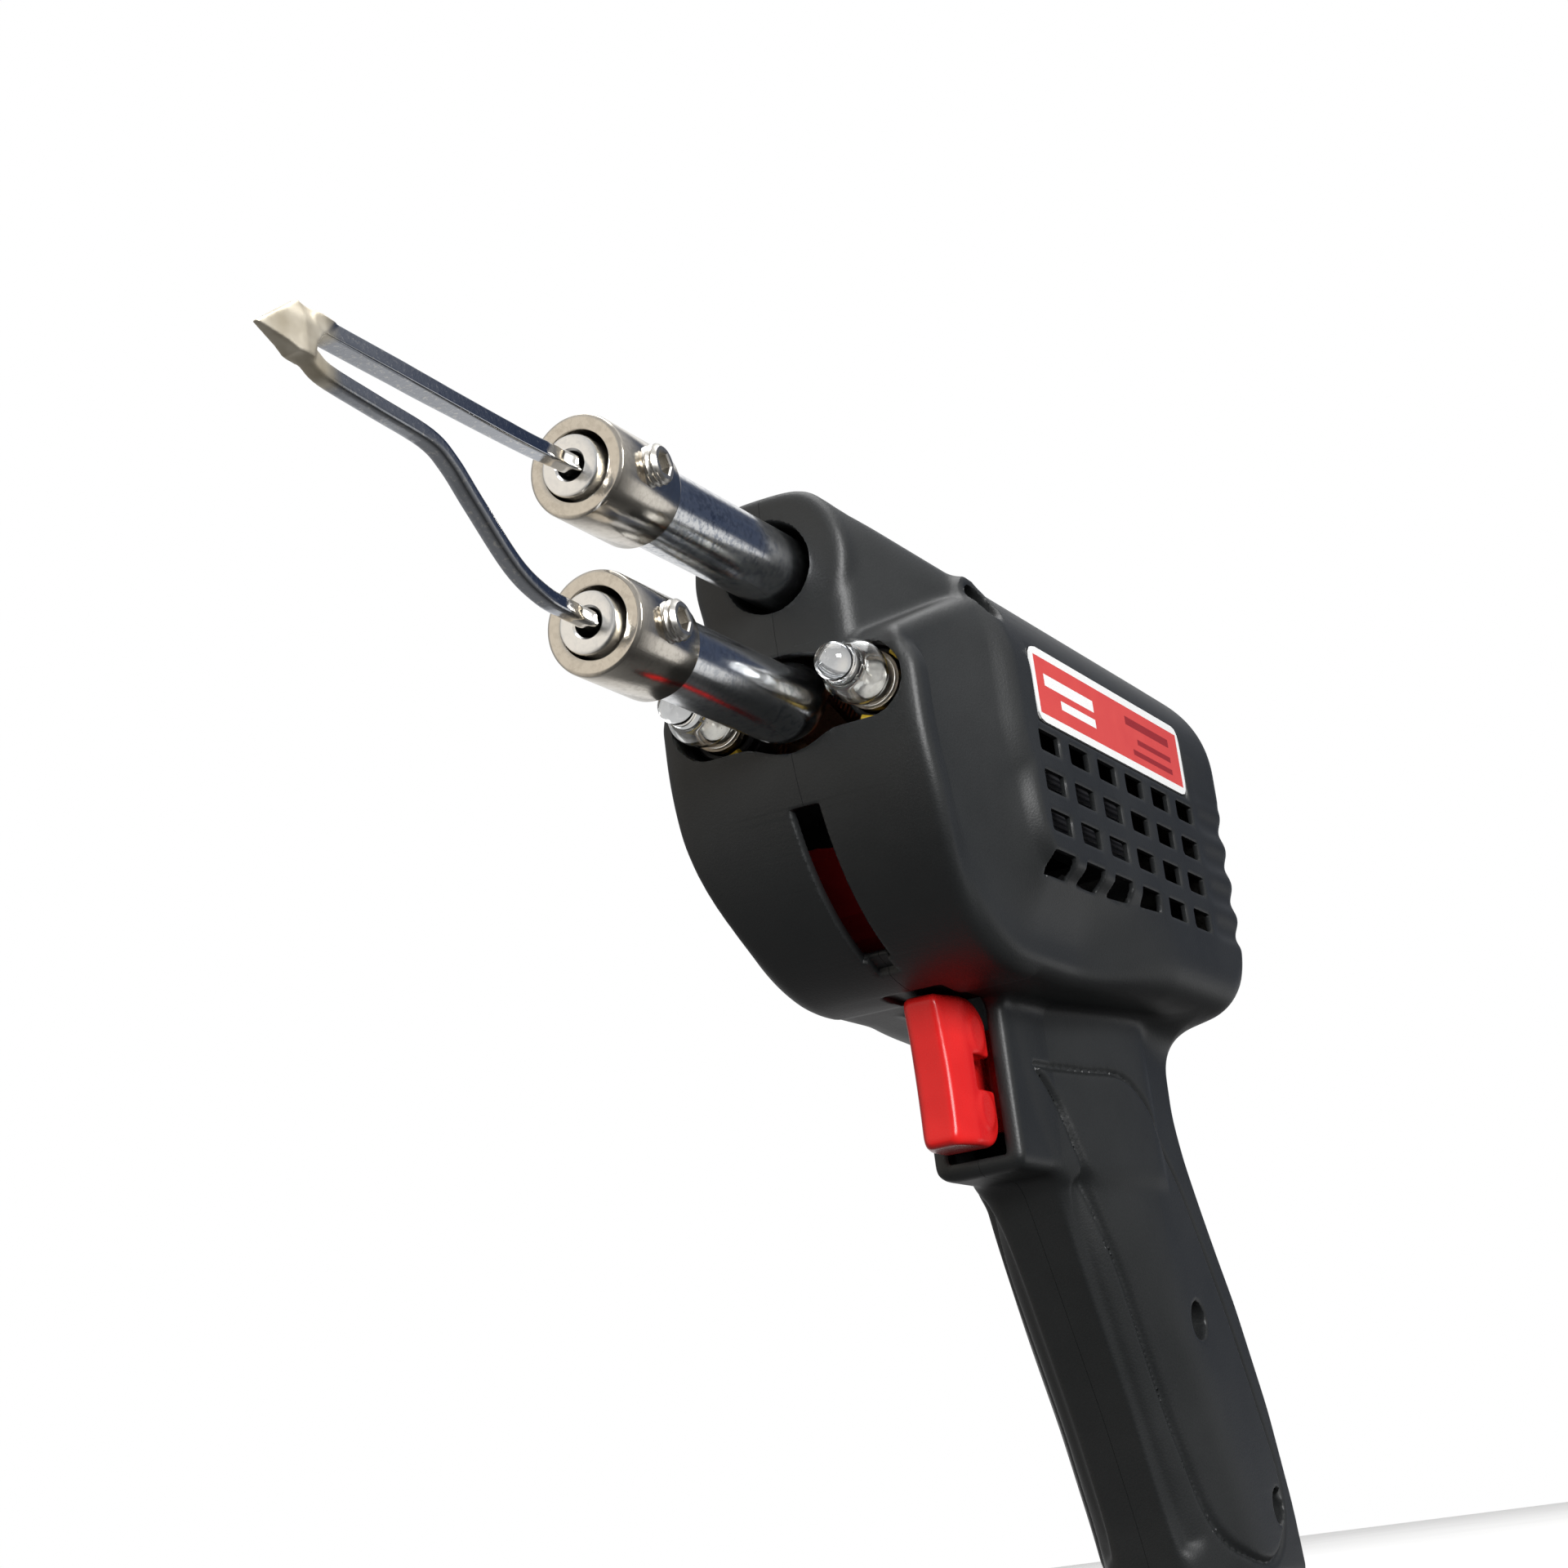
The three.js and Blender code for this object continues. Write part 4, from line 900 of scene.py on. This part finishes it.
for word, side in (("left", 1), ("right", -1)):
    shell = housing_half(f"shell_{word}", side, HOUSING_STEP)
    finish_piece(shell, "charcoal", ROOT, [f"housing_{word}"])

# ---- collars, set screws and barrels ----

COLLAR_LOW, COLLAR_HIGH = local_box("upper_collar")
COLLAR_RADIUS = (COLLAR_HIGH.z - COLLAR_LOW.z) / 2
COLLAR_FRONT, COLLAR_REAR = COLLAR_HIGH.x, COLLAR_LOW.x
COLLAR_BORE = 5.45
BORE_END = 45.9                    # where the collar's bore widens for the barrel
STUB_RADIUS = 4.8
STUB_REAR = 43.0
STUB_FRONT = COLLAR_FRONT + 0.9
STUB_Y = -0.5                      # the set screw holds the stub against the collar's far side
BARREL_RADIUS = 6.35
BEND_RADIUS, BEND_ANGLE = 11.0, 0.9
WIRE_HOLE = 2.25


def collar(name, z):
    """Collar that fits over the barrel, with a narrower bore for the stub in front of it."""
    r, front, rear, bore = COLLAR_RADIUS, COLLAR_FRONT, COLLAR_REAR, COLLAR_BORE
    profile = [(rear, BARREL_RADIUS + 0.1), (rear, r - 0.35), (rear + 0.12, r - 0.1), (rear + 0.4, r),
               (front - 0.75, r), (front - 0.3, r - 0.12), (front - 0.05, r - 0.45), (front, r - 0.75),
               (front, bore + 0.3), (front - 0.1, bore + 0.08), (front - 0.35, bore), (BORE_END, bore),
               (BORE_END, BARREL_RADIUS + 0.1), (rear, BARREL_RADIUS + 0.1)]
    return turned_object(name, profile, (0.0, z), 96)


def barrel_stub(name, z):
    """Drilled end of the conductor, which shows in the collar's mouth and takes the tip."""
    front, rear, r = STUB_FRONT, STUB_REAR, STUB_RADIUS
    profile = [(rear, WIRE_HOLE), (front - 0.3, WIRE_HOLE), (front, WIRE_HOLE + 0.3), (front, r - 0.5),
               (front - 0.15, r - 0.15), (front - 0.5, r), (rear, r), (rear, WIRE_HOLE)]
    return turned_object(name, profile, (STUB_Y, z), 64)


def upper_barrel():
    """Straight tube from inside the boss to the collar."""
    r = BARREL_RADIUS
    profile = [(-14.0, r - 1.6), (-14.0, r), (45.3, r), (45.8, r - 0.5), (45.8, WIRE_HOLE)]
    pipe = skin(turned_rings(profile, (0.0, 0.0), 96))
    return welded(new_object("upper_barrel_tube", *pipe))


def lower_barrel():
    """Straight tube that turns up and back in an elbow behind the nose opening."""
    straight = [(x, 0.0, LOWER_Z) for x in np.linspace(45.6, 4.5, 30)]
    bend = [(4.0 - BEND_RADIUS * math.sin(a), 0.0, LOWER_Z + BEND_RADIUS * (1.0 - math.cos(a)))
            for a in np.linspace(0.0, BEND_ANGLE, 14)]
    radii = [BARREL_RADIUS] * 30 + [BARREL_RADIUS - 0.9 * (i / 13) ** 2 for i in range(14)]
    return welded(new_object("lower_barrel_tube", *tube(straight + bend, radii, 64)))


def set_screw(name, z):
    """Socket set screw along +Y with a cut thread and a hexagon socket."""
    low, high = local_box("upper_set_screw")
    centre_x, r = (low.x + high.x) / 2, (high.z - low.z) / 2
    pitch, depth = 0.95, 0.42
    socket_half, socket_depth = 1.62, 3.0
    sides = 72
    angle = np.linspace(0.0, 2.0 * math.pi, sides, endpoint=False)
    socket = socket_half / np.cos((angle % (math.pi / 3)) - math.pi / 6)
    rings = []

    def ring(radius, y):
        across, up = radius * np.cos(angle), radius * np.sin(angle)
        rings.append(np.stack([centre_x + across, np.full(sides, y), z + up], 1))

    ring(0.0, low.y)
    for y in np.arange(low.y, high.y - 0.45, 0.1):
        turn = (y / pitch - angle / (2.0 * math.pi)) % 1.0
        cut = depth * np.clip(1.35 * (1.0 - np.abs(2.0 * turn - 1.0)) - 0.1, 0.0, 1.0)
        ring(r - cut, y)
    ring(r - 0.25, high.y - 0.35)
    ring(r - 0.65, high.y)
    ring(socket + 0.22, high.y)
    ring(socket, high.y - 0.25)
    ring(socket, high.y - socket_depth)
    ring(0.0, high.y - socket_depth - 0.4)
    return welded(new_object(name, *skin(rings)), 28)


for place, z in (("upper", 0.0), ("lower", LOWER_Z)):
    finish_piece(collar(f"{place}_collar_ring", z), "nickel", ROOT, [f"{place}_collar"])
    finish_piece(barrel_stub(f"{place}_barrel_stub", z), "stub", ROOT, [])
    finish_piece(set_screw(f"{place}_grub_screw", z), "steel", f"{place}_screw", [f"{place}_set_screw"])
finish_piece(upper_barrel(), "chrome", ROOT, ["upper_barrel"])
finish_piece(lower_barrel(), "chrome", ROOT, ["lower_barrel"])

# ---- soldering tip ----

# Centre lines of the wire's two legs and outline of its wedge head, in x and z.
UPPER_LEG = [(46, 0), (60.5, -0.3), (75.9, -0.75), (103.4, -0.55), (118.3, -0.4), (122, -0.4)]
LOWER_LEG = [(46, -24.2), (59.6, -24.2), (66, -24.0), (72.2, -23.5), (79.1, -21.0), (87.6, -14.4),
             (92.7, -10.2), (97.8, -8.0), (109.5, -7.15), (119.5, -6.4), (122.7, -5.2), (125.2, -4.0)]
TIP_HEAD = [(118.5, 0.75), (123.1, 1.35), (125.1, 1.95), (133.4, -3.75), (128.0, -5.0), (126.2, -5.7),
            (123.5, -5.7), (122.6, -3.6), (120.7, -1.4)]


def bar_field(level, y, tall, wide, corner):
    """Wire with rounded corners; level is the distance from its centre line in the x-z plane."""
    return corner_distance(level - tall + corner, y - wide + corner, corner)


def tip_field(x, y, z):
    """Square wire that runs out from one collar, round the head and back to the other."""
    y = np.abs(y)
    flat = 1.3 + 0.35 * smooth_step(60.0, 110.0, x)
    upper = bar_field(polyline_distance(x, z, rounded_path(UPPER_LEG)), y, 1.15, flat, 0.25)
    lower = bar_field(polyline_distance(x, z, rounded_path(LOWER_LEG)), y, 1.3, 1.35, 0.8)
    wedge = 1.75 - 1.3 * np.clip((x - 125.0) / 8.4, 0.0, 1.0)
    taper = wedge - 0.9 * smooth_step(-1.5, 2.0, z) * smooth_step(121.0, 124.0, x)
    head = blend_max(polygon_distance(x, z, TIP_HEAD), y - taper, 0.4)
    return blend_min(np.minimum(upper, lower), head, 0.5)


TIP_STEP = 0.22
tip = field_object("tip_loop_wire", tip_field, (45.0, -2.6, -27.0), (134.5, 2.6, 4.0), TIP_STEP)
finish_piece(tip, "tinned", "tip", ["soldering_tip"])

# ---- lamps ----


# Two loops of each lead by the lamp, as x and then y and z from the lamp's axis.
LEAD_LOOPS = [[(-3.2, 4.4, 4.0), (-4.0, 6.3, 1.6), (-6.5, 6.2, 0.4), (-10.0, 6.1, 1.8), (-14.0, 4.8, 4.4),
               (-20.0, 3.0, 6.0), (-30.0, 4.3, 5.3), (-40.0, 5.3, 2.3)],
              [(-4.5, -3.0, -5.6), (-5.0, -0.4, -6.3), (-7.0, 2.6, -5.9), (-11.0, 4.0, -4.8),
               (-16.0, 3.2, -3.8)]]
LEAD_RADIUS = 0.75
LENS_RADIUS = 3.1
SLEEVE_RADIUS = 6.0


def lamp_glass(name, back, tip_x, centre):
    """Bulb with a thin wall and a round lens at its front."""
    lens = [(tip_x - LENS_RADIUS * (1.0 - math.cos(a)), LENS_RADIUS * math.sin(a))
            for a in np.linspace(0.0, 1.9, 14)]
    outer = [(6.6, 3.35), (6.0, 3.9), (5.2, 4.55), (4.2, 5.0), (3.0, 5.2), (1.6, 5.15), (0.4, 4.9),
             (-1.0, 4.5), (back, 4.4)]
    inner = [(back, 3.9), (-1.0, 4.0), (0.6, 4.5), (2.4, 4.7), (4.0, 4.4), (5.4, 3.5), (6.2, 2.4),
             (6.6, 1.2), (6.7, 0.0)]
    return turned_object(name, lens + outer + inner, centre, 48)


def lamp_filament(name, back, centre):
    """Two posts in a glass bead, with a coiled filament between their ends."""
    y, z = centre
    filament = [(3.4 + 0.25 * math.cos(9.0 * t), y + 2.6 * t,
                 z + 0.7 - 0.9 * t * t + 0.25 * math.sin(9.0 * t)) for t in np.linspace(-0.5, 0.5, 40)]
    parts = []
    for s in (-1, 1):
        post = rounded_path([(back, y + s * 0.9, z), (0.0, y + s * 1.0, z), (3.4, y + s * 1.3, z + 0.5)], 8)
        parts.append(tube(post, 0.16, 8))
    bead = [(back - 0.2, 0.0), (back - 0.2, 3.4), (back + 0.9, 3.0), (back + 1.6, 1.8), (back + 2.0, 0.0)]
    parts.append(skin(turned_rings(bead, centre, 32)))
    parts.append(tube(filament, 0.09, 6))
    return welded(new_object(name, *merged(parts)))


def lamp_cap(name, word, centre):
    """Metal cap with a rolled screw thread."""
    low, high = local_box(f"lamp_base_{word}")
    thread = [(x, 4.55 + 0.3 * math.cos((x - high.x) * 2.0 * math.pi / 1.9))
              for x in np.arange(high.x, low.x, -0.2)]
    return turned_object(name, [(high.x, 0.0), *thread, (low.x, 4.4), (low.x, 0.0)], centre, 64)


def lamp_socket(name, word, centre):
    """Cup that holds the cap, with a groove round its mouth."""
    low, high = local_box(f"lamp_holder_{word}")
    back, front, r = low.x, high.x, SLEEVE_RADIUS
    cup = [(back, 0.0), (back, 5.4), (back + 0.6, r), (front - 3.0, r), (front - 2.8, 5.7),
           (front - 1.4, 5.7), (front - 1.2, r), (front - 0.3, r), (front, 5.7), (front, 5.1),
           (back + 2.0, 5.0), (back + 2.0, 0.0)]
    return turned_object(name, cup, centre, 64)


def lamp_lead(name, side, centre):
    parts = []
    for loop in LEAD_LOOPS:
        path = rounded_path([(x, centre[0] + side * dy, centre[1] + dz) for x, dy, dz in loop])
        parts.append(tube(path, LEAD_RADIUS, 12))
    return welded(new_object(name, *merged(parts)))


def lamp(word, side):
    low, high = local_box(f"lamp_{word}")
    centre = ((low.y + high.y) / 2, (low.z + high.z) / 2)
    glass = lamp_glass(f"lamp_bulb_{word}", low.x, high.x, centre)
    finish_piece(glass, "lamp_glass", ROOT, [f"lamp_{word}"])
    finish_piece(lamp_filament(f"lamp_filament_{word}", low.x, centre), "steel", ROOT, [])
    finish_piece(lamp_cap(f"lamp_cap_{word}", word, centre), "brass", ROOT, [f"lamp_base_{word}"])
    finish_piece(lamp_socket(f"lamp_socket_{word}", word, centre), "black", ROOT, [f"lamp_holder_{word}"])
    finish_piece(lamp_lead(f"lamp_wire_{word}", side, centre), "yellow", ROOT, [f"lamp_lead_{word}"])


lamp("left", 1)
lamp("right", -1)

# ---- trigger ----

TRIGGER_LOW, TRIGGER_HIGH = local_box("trigger")
TRIGGER_STEP = 0.3
NOTCH_Z, NOTCH_HALF = -79.9, 2.9
BUMP_HEIGHTS = (-73.2, -86.4)


def trigger_field(x, y, z):
    """Finger blade with a notch and two bumps on each side, and the block and stem behind it."""
    y = np.abs(y)
    front, top, bottom = TRIGGER_HIGH.x, TRIGGER_HIGH.z, TRIGGER_LOW.z
    middle = (top + bottom) / 2
    lean = 1.2 * (top - z) / (top - bottom)
    bow = 0.8 * (1.0 - ((z - middle) / 12.0) ** 2)
    face = x - front + lean + np.clip(bow, 0.0, 1.0)
    tall = np.abs(z - middle) - (top - bottom) / 2
    profile = blend_max(face, tall, 1.9)
    rear_top = corner_distance(-45.5 - x, z - (top - 8.0), 8.0)
    rear_low = corner_distance(-47.5 - x, bottom + 5.0 - z, 5.0)
    profile = np.maximum(profile, np.maximum(rear_top, rear_low))
    profile = np.maximum(profile, -52.5 - x)
    half = 3.3 + 1.5 * smooth_step(1.0, 8.0, front - x)
    blade = blend_max(profile, y - half, 1.5)
    for height in BUMP_HEIGHTS:
        bump = np.sqrt(((x + 47.4) / 3.4) ** 2 + ((y - 4.2) / 1.5) ** 2 + ((z - height) / 3.8) ** 2)
        blade = blend_min(blade, bump * 1.5 - 1.5, 0.6)
    blade = np.maximum(blade, y - 5.2)
    notch = np.maximum(np.maximum(np.abs(z - NOTCH_Z) - NOTCH_HALF, x + 45.4), 1.4 - y)
    blade = blend_max(blade, -notch, 0.6)
    block = np.maximum(np.maximum(np.abs(x + 54.5) - 6.0, y - 1.2), np.abs(z - middle) - 8.0)
    stop = np.maximum(np.maximum(np.abs(x + 60.0) - 1.0, y - 5.0), np.abs(z - middle) - 9.0)
    stem = np.maximum(np.hypot(y, z + 81.0) - 3.2, np.abs(x + 61.0) - 1.5)
    return np.minimum(np.minimum(blade, block), np.minimum(stop, stem))


lever = field_object("trigger_lever", trigger_field, (-63.5, -7.0, -93.0), (-35.0, 7.0, -66.5), TRIGGER_STEP)
finish_piece(lever, "trigger_red", "trigger", ["trigger"])

# ---- CAD nodes that keep their shape ----

for node, key in CAD_MATERIALS.items():
    paint(frame["nodes"][node], key)

slot_of = {subpart["node"]: subpart["material_slot"] for subpart in frame["record"]["subparts"]}
for node, obj in frame["nodes"].items():
    if node not in CAD_MATERIALS and not obj.hide_render:
        paint(obj, slot_of[node])

# ---- camera, floor and light ----

# Sky colours round the gun's long axis, by angle in degrees from the left side (+Y) up towards the roof.
NAVY = (0.020, 0.028, 0.050)
SKY_STRENGTH = 2.0
WARM = (0.40, 0.375, 0.34)
REAR_SKY = [(-180, 0.42), (-140, 0.36), (-120, 0.06), (-58, 0.03), (-46, 0.05), (-38, 0.40), (-14, 0.42),
            (-4, NAVY), (88, NAVY), (104, 0.5), (180, 0.4)]
SIDE_SKY = [(-180, 0.16), (-120, 0.10), (-60, 0.02), (-30, 0.06), (0, 0.14), (45, 0.28), (75, 0.40),
            (120, 0.30), (180, 0.16)]
FRONT_SKY = [(-180, WARM), (-120, 0.05), (-60, 0.02), (-20, 0.08), (30, 0.16), (90, 0.24), (125, WARM),
             (180, WARM)]
CAMERA_PLACE = (390.0, 187.5, -158.5)
CAMERA_RIGHT, CAMERA_UP = (-0.4648, 0.8766, -0.1247), (0.1851, 0.2339, 0.9545)
CAMERA_BACK = (0.8659, 0.4205, -0.2710)
FLOOR_HALF = 1.5


def add_camera():
    data = bpy.data.cameras.new("camera")
    data.sensor_width = 36.0
    data.lens = 64.8
    data.clip_start, data.clip_end = 0.01, 20.0
    camera = linked("camera", data)
    turn = Matrix((CAMERA_RIGHT, CAMERA_UP, CAMERA_BACK)).transposed().to_4x4()
    camera.matrix_world = Matrix.Translation(Vector(to_world(CAMERA_PLACE))) @ turn
    bpy.context.scene.camera = camera


def add_floor():
    mesh = bpy.data.meshes.new("floor")
    corners = [(-1, -1), (1, -1), (1, 1), (-1, 1)]
    mesh.from_pydata([(x * FLOOR_HALF, y * FLOOR_HALF, 0) for x, y in corners], [], [(0, 1, 2, 3)])
    floor = linked("floor", mesh)
    floor.location.z = -0.0002
    floor.visible_diffuse = False
    floor.visible_glossy = False
    m = Nodes("pale_floor", roughness=0.6)
    m.colour(m.ramp(m.noise(12.0), [(0.3, 0.84), (0.7, 0.88)]))
    mesh.materials.append(m.material)


def add_area(name, place, target, size, power):
    data = bpy.data.lights.new(name, "AREA")
    data.shape = "RECTANGLE"
    data.size, data.size_y = size
    data.energy = power
    light = linked(name, data)
    light.location = place
    light.rotation_euler = (Vector(target) - Vector(place)).to_track_quat("-Z", "Y").to_euler()


def add_world():
    """White backdrop for the camera; for light, bright panels to the left and front and dark gaps between."""
    world = bpy.data.worlds.new("studio")
    world.use_nodes = True
    tree = Tree(world.node_tree)
    background = world.node_tree.nodes["Background"]
    place = tree.axes(tree.add("ShaderNodeTexCoord").outputs["Generated"])
    turn = tree.math("ARCTAN2", place["Z"], place["Y"])
    share = tree.spread(turn, -math.pi, math.pi)
    rear, sides, front = [tree.ramp(share, [((degrees + 180.0) / 360.0, colour) for degrees, colour in sky])
                          for sky in (REAR_SKY, SIDE_SKY, FRONT_SKY)]
    light = tree.mix(tree.spread(place["X"], -0.80, -0.66), rear, sides)
    light = tree.mix(tree.spread(place["X"], 0.15, 0.5), light, front)
    seen = tree.add("ShaderNodeLightPath").outputs["Is Camera Ray"]
    tree.link(tree.mix(seen, light, (1.0, 1.0, 1.0)), background.inputs["Color"])
    tree.link(tree.spread(seen, 0.0, 1.0, SKY_STRENGTH, 1.0), background.inputs["Strength"])
    bpy.context.scene.world = world


add_camera()
add_floor()
add_world()
add_area("top", (-0.1, 0.1, 1.2), (0.0, 0.0, 0.1), (1.2, 0.9), 9.0)
add_area("key", (0.66, 0.98, 0.42), (0.0, 0.0, 0.12), (0.6, 0.5), 20.0)
bpy.context.scene.view_settings.view_transform = "Standard"
